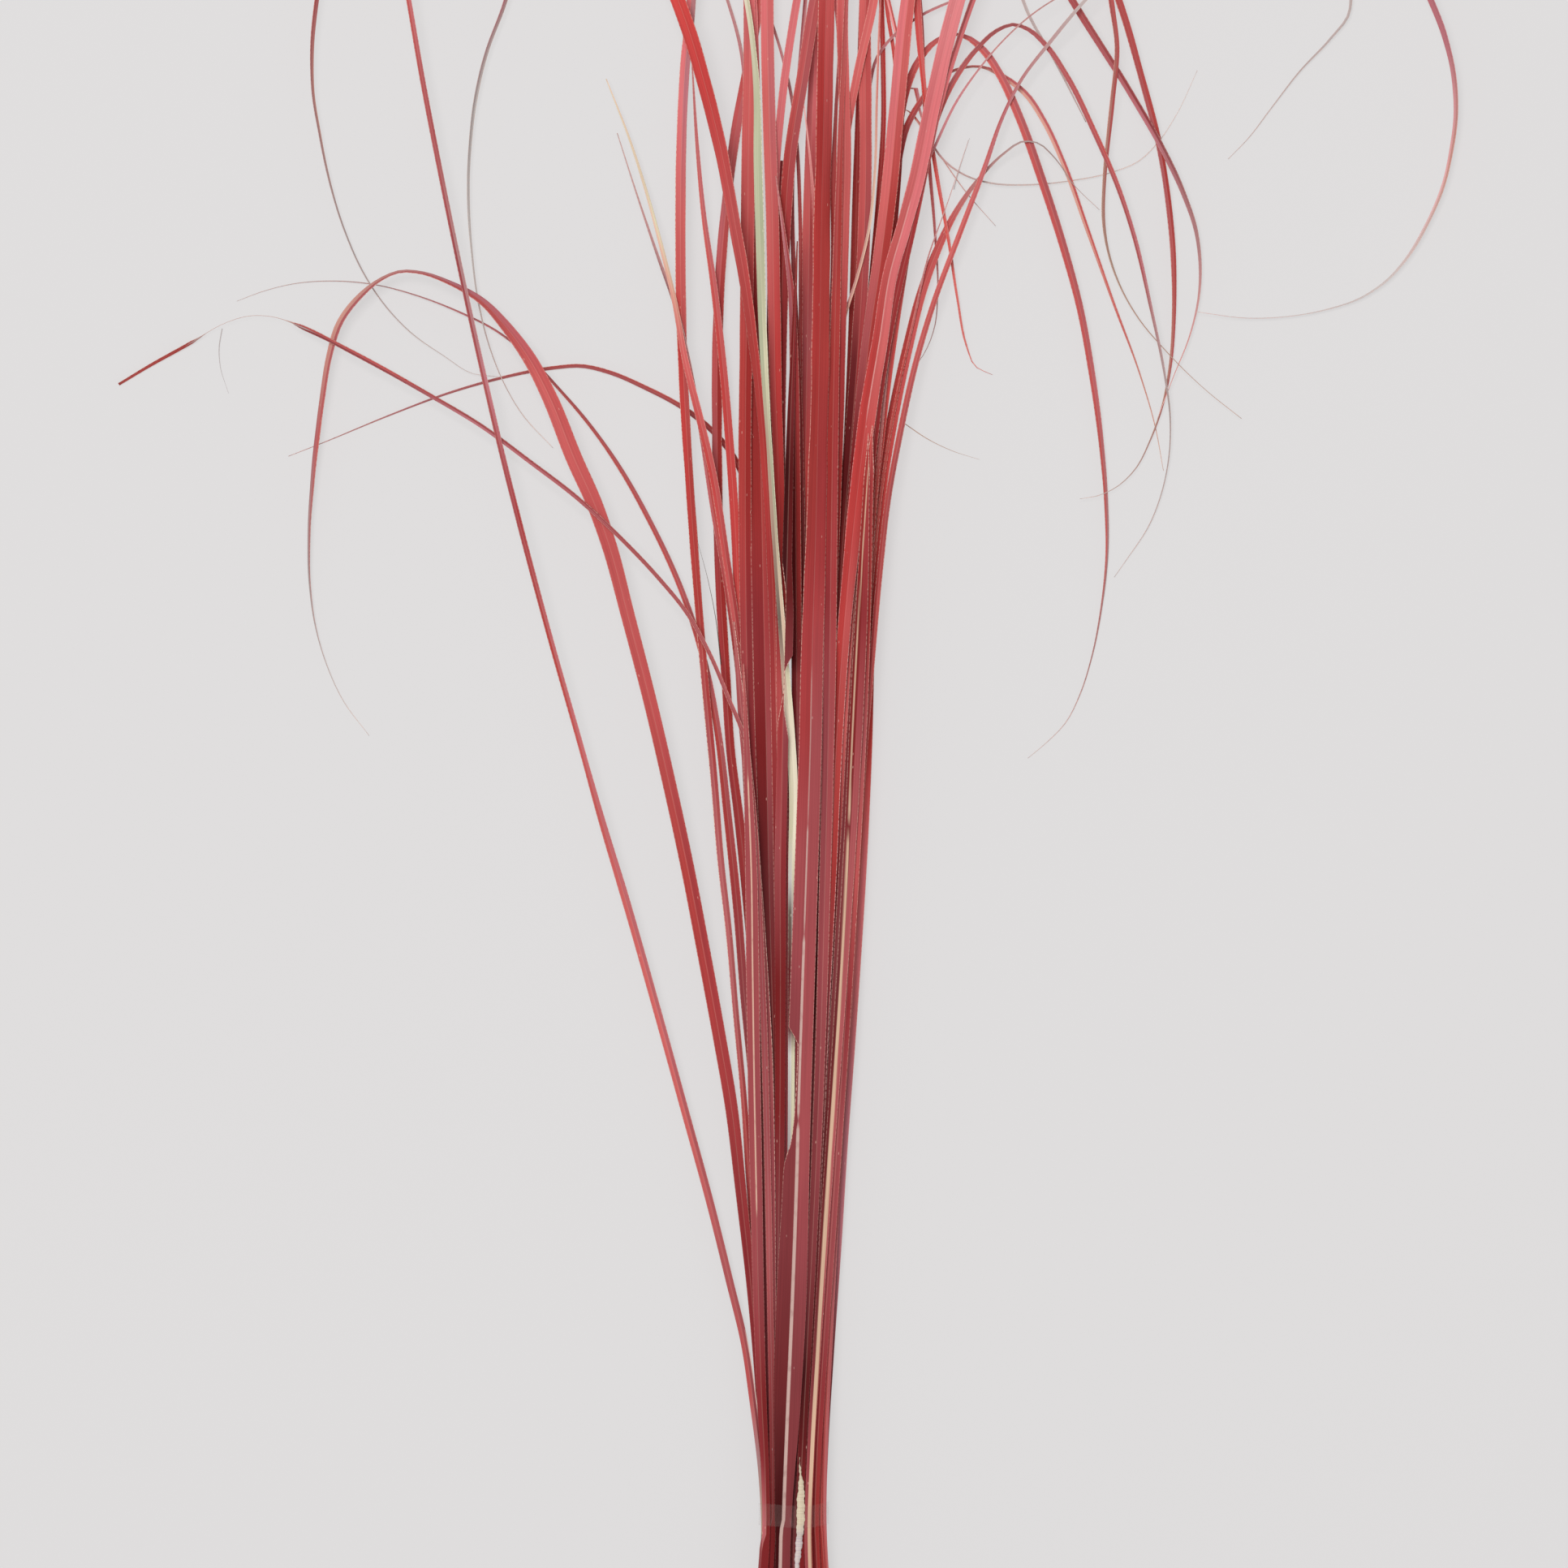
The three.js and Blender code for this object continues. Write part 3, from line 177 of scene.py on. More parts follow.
def clear_film():
    """Stretched elastic film, polypropylene: nearly invisible, with a gloss where it bends."""
    material, tree = new_material("polypropylene_film_stretched")
    skin = add(
        tree,
        "ShaderNodeBsdfPrincipled",
        {"Base Color": rgba("c8aaa4"), "Roughness": 0.2, "IOR": 1.49, "Alpha": 0.03},
    ).outputs[0]
    add(tree, "ShaderNodeOutputMaterial", {"Surface": skin})
    return material


def table_top():
    """Opal acrylic sheet of a light table, matt: it glows evenly, so shadows on it are faint."""
    material, tree = new_material("opal_acrylic_matt")
    skin = add(
        tree,
        "ShaderNodeBsdfPrincipled",
        {
            "Base Color": rgba("6f6e6e"),
            "Roughness": 0.9,
            "Specular IOR Level": 0.0,
            "Emission Color": rgba("dfdddd"),
            "Emission Strength": TABLE_GLOW,
        },
    ).outputs[0]
    add(tree, "ShaderNodeOutputMaterial", {"Surface": skin})
    return material


LEAF = dyed_leaf()
FILM = clear_film()


# ---------------------------------------------------------------- reading a CAD blade
def corner_rings(node):
    """The CAD blade as rings of four corners from butt to tip: left edge, midrib top, right
    edge, midrib underside. Each ring is every new neighbour of the ring before it. There
    the right edge touches three corners, and any other touches none above its own number."""
    mesh = node.data
    flat = np.empty(len(mesh.vertices) * 3)
    mesh.vertices.foreach_get("co", flat)
    turn = np.array(node.matrix_world)
    points = flat.reshape(-1, 3) @ turn[:3, :3].T + turn[:3, 3]
    points, same = np.unique(np.round(points, 7), axis=0, return_inverse=True)
    mesh.calc_loop_triangles()
    tris = np.empty(len(mesh.loop_triangles) * 3, int)
    mesh.loop_triangles.foreach_get("vertices", tris)
    tris = same.reshape(-1)[tris].reshape(-1, 3)
    links = np.unique(np.sort(np.vstack([tris[:, [0, 1]], tris[:, [1, 2]], tris[:, [2, 0]]])), axis=0)
    links = np.vstack([links, links[:, ::-1]])
    butt = np.argsort(points[:, 1])[:4]
    butt = butt[np.argsort(points[butt, 0])]
    inner = butt[1:3][np.argsort(points[butt[1:3], 2])]
    ring = np.array([butt[0], inner[1], butt[3], inner[0]])
    seen = set(ring.tolist())
    rings = [ring]
    while True:
        label = np.full(len(points), -1)
        label[ring] = np.arange(4)
        near = links[label[links[:, 0]] >= 0]
        near = near[[b not in seen for b in near[:, 1].tolist()]]
        if not len(near):
            break
        new = np.empty(4, int)
        for b in np.unique(near[:, 1]):
            touches = label[near[near[:, 1] == b, 0]]
            new[2 if len(touches) == 3 else touches.max()] = b
        seen.update(new.tolist())
        rings.append(new)
        ring = new
    return points[np.array(rings)]


def through(stations, values, wanted):
    """A smooth curve through values at stations: cubic pieces whose slope at each station is
    the slope of the parabola through it and its neighbours."""
    gap = np.diff(stations)
    slope = np.diff(values, axis=0) / gap[:, None]
    tangent = np.empty_like(values)
    tangent[0], tangent[-1] = slope[0], slope[-1]
    total = (gap[1:] + gap[:-1])[:, None]
    tangent[1:-1] = (gap[1:, None] * slope[:-1] + gap[:-1, None] * slope[1:]) / total
    i = np.clip(np.searchsorted(stations, wanted) - 1, 0, len(gap) - 1)
    u = ((wanted - stations[i]) / gap[i])[:, None]
    h = gap[i][:, None]
    return (
        (2 * u**3 - 3 * u**2 + 1) * values[i]
        + (u**3 - 2 * u**2 + u) * h * tangent[i]
        + (3 * u**2 - 2 * u**3) * values[i + 1]
        + (u**3 - u**2) * h * tangent[i + 1]
    )


# ---------------------------------------------------------------- making a mesh
def ring_piece(name, points, loop=False):
    """A closed mesh from an array of rings [ring, place, xyz]. The places run round each ring.
    A loop joins its last ring to its first; otherwise a strip of quads from one half of an end
    ring to the other half closes each end."""
    rings, places = points.shape[:2]
    at = np.arange(rings * places).reshape(rings, places)
    after = np.roll(at, -1, axis=1)
    at_next, after_next = np.roll(at, -1, axis=0), np.roll(after, -1, axis=0)
    faces = np.stack([at, after, after_next, at_next], -1)
    faces = (faces if loop else faces[:-1]).reshape(-1, 4)
    if not loop:
        half = places // 2
        k = np.arange(half - 1)
        far = places - 1 - k
        butt = np.stack([at[0, far], at[0, far - 1], at[0, k + 1], at[0, k]], -1)
        tip = np.stack([at[-1, k], at[-1, k + 1], at[-1, far - 1], at[-1, far]], -1)
        faces = np.vstack([faces, butt, tip])
    mesh = bpy.data.meshes.new(name)
    mesh.from_pydata(points.reshape(-1, 3), [], faces)
    mesh.polygons.foreach_set("use_smooth", np.ones(len(faces), bool))
    piece = bpy.data.objects.new(name, mesh)
    bpy.context.collection.objects.link(piece)
    return piece


def paint(mesh, name, values):
    """Writes one value per point as a named attribute: three numbers as a vector, four as a
    colour."""
    kind = {3: ("FLOAT_VECTOR", "vector"), 4: ("FLOAT_COLOR", "color")}[values.shape[-1]]
    layer = mesh.attributes.new(name, kind[0], "POINT")
    layer.data.foreach_set(kind[1], values.reshape(-1).astype(np.float32))


def lay_grain(mesh, across, along):
    """A UV map in millimetres: across the leaf from its midrib, and along it from its butt."""
    corners = np.empty(len(mesh.loops), int)
    mesh.loops.foreach_get("vertex_index", corners)
    uv = mesh.uv_layers.new(name="grain")
    place = np.stack([across.reshape(-1)[corners], along.reshape(-1)[corners]], -1)
    uv.data.foreach_set("uv", place.reshape(-1).astype(np.float32))


# ---------------------------------------------------------------- a leaf
band_low, band_high = (np.array(corner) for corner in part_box("tie_band"))
band_mid = (band_low + band_high) / 2
WAIST = band_mid + np.array([0.6, 0, 0]) * MM  # where the middle leaves pass the band
LEFT, RIGHT = 0, 1
ACROSS = np.array([-1, -0.95, -0.84, -0.66, -0.46, -0.27, -0.13, -0.045])
ACROSS = np.concatenate([ACROSS, -ACROSS[::-1]])  # places across a lamina, edge to edge
RING_STEP = 2.6 * MM
BUTT_TO_BAND = 58.0  # mm of leaf below the band
PINCH = 0.35 * MM  # how far the tight band pushes the leaves aside just below it
FLARE = 0.09  # share by which they spread out again there
HANGING = ("arch", "hang", "whisker", "lean")  # leaves that end in a fine dry thread
THREAD_END = 0.45  # share of the width left at the very end of those
THREAD_RUN = 80 * MM  # and the length over which it fades
STOP_RUN = 14.0  # mm over which a leaf that ends early comes to its point
FOLD = 0.12  # bow of a lamina between midrib and edge, as a share of its width
RIPPLES = ((90, 0.05), (37, 0.035), (17, 0.02))  # slow waves of the edge: mm, share of the width
LAMINA_THICK = 0.14  # mm
MIDRIB_THICK = 0.22  # mm more at the midrib
MIDRIB_SHARE = 0.22  # of the width, over which that thins out
RIB_HALF = 0.14  # mm, half the width of the pale line of a midrib
SMOOTH_EDGE = 0.97  # a lamina with a smaller share left is torn there
SHEEN = 0.008  # light that the satin surface adds to every shade, taken off the dye itself


def stops_in(text):
    """Places in mm beyond the band and the values there, from a text such as "0 1, 40 1.42"."""
    return np.array([stop.split() for stop in text.split(",")], float).T


def dye_and_painted_shade_along(text, reach, side):
    """Linear colours along the leaf from "mm shade" stops, or "mm left/right" ones: dye together with
    painted light and shade.
    """
    stops = [stop.split() for stop in text.split(",")]
    places = [float(place) for place, shades in stops]
    table = np.array([linear(SHADES[shades.split("/")[side]]) for place, shades in stops])
    table = np.maximum(table - SHEEN, 0.25 * table)
    return np.stack([np.interp(reach, places, table[:, c]) for c in range(3)], -1)


def between(reach, ranges, fade=1.2):
    """How much each reach lies in any (start, end) range, fading over a few millimetres."""
    inside = np.zeros_like(reach)
    for start, end in ranges:
        here = np.clip((reach - start) / fade, 0, 1) * np.clip((end - reach) / fade, 0, 1)
        inside = np.maximum(inside, here)
    return inside


def leaf_route(node, stop):
    """The distance s from the butt, the reach beyond the band in mm, the midrib there, and the
    ways from it to the left and right edge. Below the band the midrib moves sideways by
    FLARE times its distance from the waist, less PINCH, eased in by 3 f^2 - 2 f^3."""
    rings = corner_rings(node)
    keel = (rings[:, 1] + rings[:, 3]) / 2
    steps = np.linalg.norm(np.diff(keel, axis=0), axis=1)
    stations = np.concatenate([[0], np.cumsum(steps)])
    length = stations[-1]
    if stop:
        length = min(length, (stop + BUTT_TO_BAND) * MM)
    s = np.linspace(0, length, max(40, int(length / RING_STEP)))
    reach = s / MM - BUTT_TO_BAND
    mid = through(stations, keel, s)
    flare = np.clip((-2.5 - reach) / 4.5, 0, 1) * np.clip((reach + 52) / 30, 0, 1)
    flare = flare**2 * (3 - 2 * flare)
    mid[:, 0] += flare * (FLARE * (mid[:, 0] - WAIST[0]) - PINCH)
    left = through(stations, rings[:, 0], s) - mid
    right = through(stations, rings[:, 2], s) - mid
    return s, reach, mid, left, right


def lamina_left(reach, bite, stop):
    """Share of the left and the right lamina that is left at each reach."""
    kept = np.ones((2, len(reach)))
    for side, text in bite:
        kept[side] = np.interp(reach, *stops_in(text))
    if stop:
        kept *= np.clip((stop - reach) / STOP_RUN, 0.04, 1) ** 0.7
    return kept


def narrowing(node_name, s, reach, slim):
    """Share of the whole width, from slim and from the thread at the end of a hanging leaf."""
    narrow = np.interp(reach, *stops_in(slim)) if slim else np.ones(len(s))
    if node_name.split("_")[1] in HANGING:
        to_end = np.clip((s[-1] - s) / THREAD_RUN, 0, 1)
        narrow = narrow * (THREAD_END + (1 - THREAD_END) * to_end)
    return narrow


def lamina_faces(s, reach, mid, left, right, seed):
    """The top and underside of a leaf, and the width of the lamina at each of their points.

    The point at (s, t) is the midrib at s plus |t| times the way to the left or right edge,
    raised by a bow of the lamina, (|t| - t^2), and by a slow ripple of the edge. Half the local
    thickness is added on top and taken off below, 0.36 mm at the midrib and 0.14 mm at the edge.
    """
    along = np.gradient(mid, s, axis=0)
    along /= np.linalg.norm(along, axis=1, keepdims=True)
    up = np.cross(right - left, along)
    up /= np.linalg.norm(up, axis=1, keepdims=True) + 1e-12
    t = ACROSS[None, :]
    half_left = np.linalg.norm(left, axis=1)
    half_right = np.linalg.norm(right, axis=1)
    side = np.where(t < 0, half_left[:, None], half_right[:, None])
    to_edge = np.where(t[..., None] < 0, left[:, None], right[:, None])
    base = mid[:, None] + np.abs(t)[..., None] * to_edge
    rng = np.random.default_rng(seed)
    ripple = np.zeros((len(s), 2))
    for wave, size in RIPPLES:
        ripple += size * np.sin(reach[:, None] / wave * 2 * np.pi + rng.uniform(0, 6.3, 2)[None])
    bend = np.where(t < 0, ripple[:, :1], ripple[:, 1:]) * t**2
    bow = (FOLD * (np.abs(t) - t**2) + bend * 0.8) * side
    thick = (LAMINA_THICK + MIDRIB_THICK * np.exp(-((np.abs(t) / MIDRIB_SHARE) ** 2))) * MM
    thick = thick * np.clip(side / (0.8 * MM), 0.35, 1)
    top = base + up[:, None] * (bow + thick / 2)[..., None]
    under = base + up[:, None] * (bow - thick / 2)[..., None]
    return top, under, side


def edge_stripe(colour, reach, side, which, width, code, ranges, inset):
    """The colour with a stripe of another: it starts inset mm from one edge, and its width in mm
    changes along the leaf as the stops in width say."""
    t = ACROSS[None, :]
    inward = (t + 1 if which == LEFT else 1 - t) * side / MM - inset
    width = np.interp(reach, *stops_in(width))[:, None]
    band = np.clip((width - inward) / 0.15, 0, 1) * np.clip(1 + inward / 0.15, 0, 1)
    band = band * between(reach, ranges)[:, None]
    return colour * (1 - band[..., None]) + linear(code) * band[..., None]


def colour_leaf(mesh, s, reach, side, kept, dye, seed, tone=0.965, rib=0.12, rib_at=(),
                bare="e2b3a4", saw=(0.5, 0.5), edge_band=None, rib_tint=None):
    """Paints what the leaf material reads: the dye with painted light and shade in it, the colour
    and half-width of bare fibre at the midrib, and the distance to the edge, strength of the midrib
    and size of the saw teeth."""
    t = ACROSS[None, :]

    def round_ring(values):
        return np.concatenate([values, values[:, ::-1]], 1)

    # the two halves take the left and right shades: partly dye, partly painted light and shade of the V
    # fold, one half as if turned to the light and the other away from it
    mix = np.clip((t + 0.06) / 0.12, 0, 1)[..., None]
    on_left, on_right = dye_and_painted_shade_along(dye, reach, 0)[:, None], dye_and_painted_shade_along(dye, reach, -1)[:, None]
    colour = (on_left * (1 - mix) + on_right * mix) * tone
    if edge_band:
        colour = edge_stripe(colour, reach, side, *edge_band)
    rib_strength = np.full(len(s), rib)
    rib_width = np.full(len(s), RIB_HALF)
    for start, end, strength, half in rib_at:
        here = between(reach, [(start, end)], 3.0)
        rib_strength = rib_strength * (1 - here) + strength * here
        rib_width = rib_width * (1 - here) + half * here
    full = np.ones((len(s), len(ACROSS)))
    edge = side * (1 - np.abs(t)) / MM
    torn = np.where(t < 0, kept[LEFT][:, None], kept[RIGHT][:, None]) < SMOOTH_EDGE
    teeth = np.where(t < 0, saw[0], saw[1]) * np.clip((reach - 10) / 160, 0.12, 1)[:, None]
    teeth = np.where(torn, 1.0, teeth)
    lamina = np.stack([edge, full * rib_strength[:, None], teeth], -1)
    bare_colour = np.broadcast_to(linear(bare), colour.shape)
    if rib_tint:
        near_rib = (np.abs(t) < 0.5)[..., None] * np.ones_like(colour)
        bare_colour = bare_colour * (1 - near_rib) + linear(rib_tint) * near_rib
    widths = (full * rib_width[:, None])[..., None]
    paint(mesh, "dye", round_ring(np.concatenate([np.clip(colour, 0, 1), full[..., None]], -1)))
    paint(mesh, "bare", round_ring(np.concatenate([bare_colour, widths], -1)))
    paint(mesh, "lamina", round_ring(lamina))
    lay_grain(mesh, round_ring(t * side / MM), round_ring((s / MM)[:, None] * full + 900.0 * seed))


TOPS = []  # the upper surface of every leaf laid so far


def leaf(node_name, slot, dye, seed, bite=(), slim=None, stop=None, **finish):
    """One leaf on the route of its CAD blade. Bite and slim change its width, stop ends it
    early, and finish goes to colour_leaf."""
    s, reach, mid, left, right = leaf_route(bpy.data.objects[node_name], stop)
    kept = lamina_left(reach, bite, stop)
    narrow = narrowing(node_name, s, reach, slim)
    left = left * (kept[LEFT] * narrow)[:, None]
    right = right * (kept[RIGHT] * narrow)[:, None]
    top, under, side = lamina_faces(s, reach, mid, left, right, seed)
    # the ring runs along the underside left to right, then back along the top
    rings = np.concatenate([under, top[:, ::-1]], 1)
    piece = ring_piece(node_name.replace("leaf_", "blade_"), rings)
    TOPS.append(top.reshape(-1, 3))
    colour_leaf(piece.data, s, reach, side, kept, dye, seed, **finish)
    piece.data.materials.append(LEAF)
    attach(piece, "root")
    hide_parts(node_name)


SHADES = {
    "umber": "431418", "maroon": "5e1e1f", "wine": "6e2c2e", "oxblood": "7c2728",
    "rosewood": "803a3d", "russet": "8c3336", "brick": "93464a", "rust": "9c3533",
    "garnet": "a23e3f", "mauve": "9f4c4f", "crimson": "ad4340", "madder": "a95658",
    "scarlet": "be4543", "coral": "bc5655", "rose": "b86467", "salmon": "c96361",
    "signal": "d04c48", "orchid": "ba727a", "pink": "d87477", "blush": "e68c8e",
    "shell": "f0b2b0", "dusty": "ab7f80", "plum": "663d44", "peach": "d29a8c",
    "cream": "e2c2aa", "tan": "c0a08e", "ash": "b5aaa8", "pale": "cfc9c5",
    "straw": "d8d2b2", "sage": "b8ba9c", "moss": "a9ae90", "bark": "73665c",
    "ivory": "f4ecd2",
}  # undyed leaf and the dye at its many strengths; the near-black umber is no dye but painted shade, deep in the pile between the leaves
# The leaf colours below hold painted light and shade as well as the dye: near-black umber where leaves lie
# deep in the pile, left and right halves that differ partly as painted shade of the fold, and lighter shades
# painted on leaves that lie in shade among the others, such as front_mid_mauve and edge_right_low.
DYES_AND_PAINTED_SHADE = {
    "arch_left_cut": (
        "0 oxblood, 80 madder, 160 brick, 210 mauve, 260 mauve/madder, 310 madder/mauve, "
        "370 orchid/mauve, 400 brick/coral, 430 brick/coral, 436 dusty, 462 dusty, 468 crimson"
    ),
    "arch_left_great": (
        "40 russet, 80 russet, 120 garnet, 200 crimson/garnet, 280 coral, 320 coral, 360 salmon/coral, "
        "400 coral/orchid, 440 rose/peach, 480 salmon/rose, 520 dusty/ash, 560 pale"
    ),
    "arch_left_long": (
        "0 oxblood, 160 brick, 200 garnet, 240 crimson/madder, 280 coral/madder, 320 coral/rose, "
        "360 coral/madder, 400 orchid/rose, 440 dusty/ash, 480 ash"
    ),
    "arch_left_thin": (
        "0 wine, 280 russet, 320 garnet/rust, 360 madder/coral, 400 rose/coral, 440 rose/orchid, "
        "480 dusty"
    ),
    "arch_right_inner": (
        "0 rosewood, 240 mauve, 400 coral, 440 coral/madder, 480 rose/peach, 520 coral/peach, "
        "560 coral, 600 tan"
    ),
    "arch_right_main": (
        "0 rosewood, 200 garnet, 400 coral, 440 salmon, 480 rose/salmon, 520 madder/coral, "
        "560 madder/coral, 600 rose/coral, 640 dusty/salmon, 680 dusty, 720 pale"
    ),
    "arch_right_outer": (
        "0 oxblood, 320 rust/scarlet, 440 rose/salmon, 480 rose, 520 coral/madder, 560 orchid/madder, "
        "600 ash"
    ),
    "arch_right_short": "0 oxblood, 280 rust, 320 scarlet, 360 crimson/coral, 400 coral, 440 ash",
    "back_left_medium": (
        "0 maroon, 160 wine/oxblood, 200 wine/rosewood, 240 oxblood/mauve, 280 russet/garnet, "
        "320 rust/crimson, 360 rust/madder, 400 garnet/peach, 440 blush, 480 pink"
    ),
    "bright_cross_a": "0 wine, 300 garnet, 440 scarlet/coral, 480 signal/scarlet",
    "bright_cross_b": "0 wine, 400 crimson/garnet, 440 shell/coral, 480 blush/coral",
    "core_centre_dark": "0 umber, 300 maroon, 400 mauve",
    "core_left_dark": (
        "0 maroon, 200 garnet, 240 garnet/rust, 280 garnet/rust, 320 madder/rust, 360 coral/rust, "
        "400 rose/coral, 440 coral/rose, 480 salmon"
    ),
    "core_mid_dark": (
        "0 umber, 280 maroon, 320 crimson/scarlet, 360 mauve/madder, 400 salmon/garnet, 440 rose/pink"
    ),
    "core_right_dark": "0 umber, 300 russet, 400 crimson, 440 garnet",
    "cross_left_a": "0 wine, 360 garnet, 400 garnet, 440 orchid/dusty",
    "cross_left_b": "0 wine, 400 mauve, 440 orchid/dusty, 480 dusty",
    "edge_right_low": (
        "0 rosewood, 40 brick, 80 brick/orchid, 120 madder/orchid, 160 pink/rose, 200 salmon/pink, "
        "240 signal, 360 garnet"
    ),
    "front_centre_streak": (
        "0 rosewood, 120 brick, 240 russet/brick, 280 maroon/rust, 320 oxblood/rust, 360 mauve/garnet, "
        "400 orchid/mauve"
    ),
    "front_dark_sliver": (
        "0 maroon, 40 wine, 80 brick/rosewood, 120 oxblood, 160 oxblood/oxblood, 200 mauve/russet, "
        "240 garnet/brick, 280 umber/maroon, 320 umber/maroon, 360 oxblood/russet, 400 oxblood"
    ),
    "front_left_dashed": (
        "0 rose/oxblood, 20 russet/oxblood, 40 russet/oxblood, 80 mauve/brick, 120 mauve/brick, "
        "160 mauve, 240 mauve, 280 coral/garnet"
    ),
    "front_left_rough": (
        "0 wine, 60 brick, 80 madder/brick, 120 mauve/brick, 160 madder, 200 rose, 240 madder/mauve, "
        "280 madder"
    ),
    "front_left_upper": (
        "0 wine, 40 rosewood/brick, 80 rosewood/wine, 120 wine, 200 russet/wine, 240 mauve/russet, "
        "280 garnet/russet, 320 crimson/rust, 360 crimson/rust, 400 coral, 440 salmon, 480 rose/pink"
    ),
    "front_mid_mauve": (
        "0 wine, 120 brick/rosewood, 160 brick/rosewood, 200 rosewood, 240 coral/russet, "
        "280 garnet/rust, 320 scarlet/scarlet, 360 coral/scarlet, 400 salmon/coral, 440 salmon/rose, "
        "480 pink/salmon"
    ),
    "front_right_band": (
        "0 wine/oxblood, 20 maroon/maroon, 40 umber/maroon, 80 rosewood/rosewood, 120 rosewood/brick, "
        "160 brick/mauve, 200 brick/mauve, 240 brick/mauve, 280 russet/garnet, 320 rust/garnet, "
        "360 crimson, 400 coral/crimson, 440 salmon, 480 salmon/pink"
    ),
    "front_right_great": (
        "0 umber/rosewood, 40 wine/rosewood, 80 rosewood/brick, 120 rosewood/mauve, 160 brick/mauve, "
        "200 mauve, 240 garnet/mauve, 280 garnet, 320 crimson/garnet, 360 scarlet/crimson, "
        "400 scarlet/crimson, 440 scarlet/coral, 480 coral/salmon"
    ),
    "front_right_pale_edge": (
        "0 oxblood/rust, 40 russet, 80 mauve, 120 madder/mauve, 160 mauve/russet, 200 madder/coral, "
        "240 madder, 280 garnet/rust, 320 scarlet/garnet, 360 scarlet/salmon, 400 salmon/pink"
    ),
    "green_undyed": (
        "0 maroon, 108 maroon, 114 ash/straw, 146 pale/straw, 154 wine/plum, 172 wine/plum, "
        "190 bark/ash, 200 pale/straw, 215 straw/ivory, 246 ivory/ivory, 262 tan/straw, "
        "280 bark/cream, 320 tan/sage, 360 sage/straw, 400 sage/moss, 440 sage, 480 ivory/straw"
    ),
    "hang_left_great": (
        "0 wine, 200 russet, 240 garnet/coral, 280 garnet/crimson, 320 scarlet, 360 crimson/scarlet, "
        "400 coral, 440 scarlet, 480 signal, 560 scarlet, 640 rose/coral, 680 peach/dusty, 720 ash, "
        "760 pale"
    ),
    "hang_left_outer": (
        "0 wine, 80 oxblood/rose, 120 coral/garnet, 160 rose/madder, 200 rose/madder, "
        "240 madder/garnet, 280 crimson, 320 scarlet/crimson, 360 scarlet/coral, 400 salmon, "
        "440 pink/orchid, 480 pink/dusty, 560 orchid, 600 dusty/orchid, 640 pale/ash, 680 pale, "
        "720 pale"
    ),
    "hang_right_bright": (
        "0 wine, 300 garnet, 400 rose, 440 pink, 480 pink, 560 coral, 600 salmon/signal, "
        "640 salmon/signal, 680 salmon"
    ),
    "hang_right_great": (
        "0 maroon, 80 brick/wine, 120 rosewood/wine, 160 coral/rosewood, 200 oxblood/rust, "
        "240 rust/crimson, 280 scarlet/coral, 320 scarlet, 360 scarlet/salmon, 400 salmon/pink, "
        "440 pink, 480 blush, 600 rose, 720 orchid, 760 peach/shell, 800 pale"
    ),
    "hang_right_inner": (
        "0 maroon, 320 wine, 360 oxblood, 400 rust/garnet, 440 coral/madder, 480 rose/coral, 560 rose, "
        "600 coral, 640 orchid/madder, 680 ash"
    ),
    "hang_right_outer_a": (
        "0 maroon, 280 rust, 320 maroon/maroon, 360 wine/garnet, 400 coral/madder, 440 salmon/coral, "
        "480 salmon/coral, 640 coral, 680 crimson/rose, 720 coral/salmon, 760 rose/tan, 800 pale"
    ),
    "hang_right_outer_b": (
        "0 maroon, 120 mauve, 160 maroon, 200 rosewood, 280 rust, 320 rust, 360 crimson/garnet, "
        "400 salmon/salmon, 440 salmon, 480 salmon/pink, 600 madder, 640 brick/orchid, 680 dusty, "
        "720 shell"
    ),
    "hang_right_slender": (
        "0 maroon, 120 wine, 160 rosewood, 200 rosewood, 280 oxblood, 400 garnet, 440 madder/pink, "
        "480 madder/pink, 640 ash"
    ),
    "hang_right_v": (
        "0 maroon, 160 rosewood, 200 crimson/garnet, 240 crimson/salmon, 280 garnet, "
        "320 oxblood/mauve, 360 madder/crimson, 400 salmon/crimson, 440 pink/salmon, 480 pink/salmon, "
        "560 salmon, 600 salmon, 640 salmon/peach, 680 tan"
    ),
    "hook_right_back": (
        "0 wine, 400 rust/garnet, 440 coral/scarlet, 480 signal/scarlet, 530 signal/scarlet, 560 ash"
    ),
    "hook_right_small": "0 maroon, 440 rose/orchid, 480 dusty/orchid",
    "lean_left_straight": (
        "0 tan/brick, 20 dusty/wine, 40 coral/brick, 80 madder, 120 salmon/madder, 160 salmon/rose, "
        "200 salmon/rose, 240 coral/rose, 280 crimson/rose, 320 mauve/garnet, 360 madder/orchid, "
        "400 brick/dusty, 440 madder/mauve, 480 coral/rose"
    ),
    "lean_right_thin": (
        "0 coral/rose, 40 coral/madder, 80 madder/rose, 120 mauve, 200 coral, 240 garnet/coral, "
        "280 garnet/coral, 320 coral/madder, 400 salmon/coral, 440 rose/orchid, 480 ash"
    ),
    "lean_right_whisker": (
        "0 rust/crimson, 20 rust/garnet, 40 rust, 320 rust, 360 dusty, 440 orchid, 480 dusty"
    ),
    "rise_left_bright": (
        "0 wine, 240 brick, 280 scarlet/signal, 320 scarlet, 360 scarlet/coral, 400 salmon/rose, "
        "440 rose"
    ),
    "rise_narrow_mid": (
        "0 maroon, 280 oxblood/wine, 320 oxblood/russet, 360 mauve/garnet, 400 mauve, "
        "440 orchid/shell, 480 madder/orchid"
    ),
    "rise_right_thin": "0 wine, 360 orchid, 400 crimson/coral, 440 rose/coral, 480 pink",
    "stripe_right_cream": (
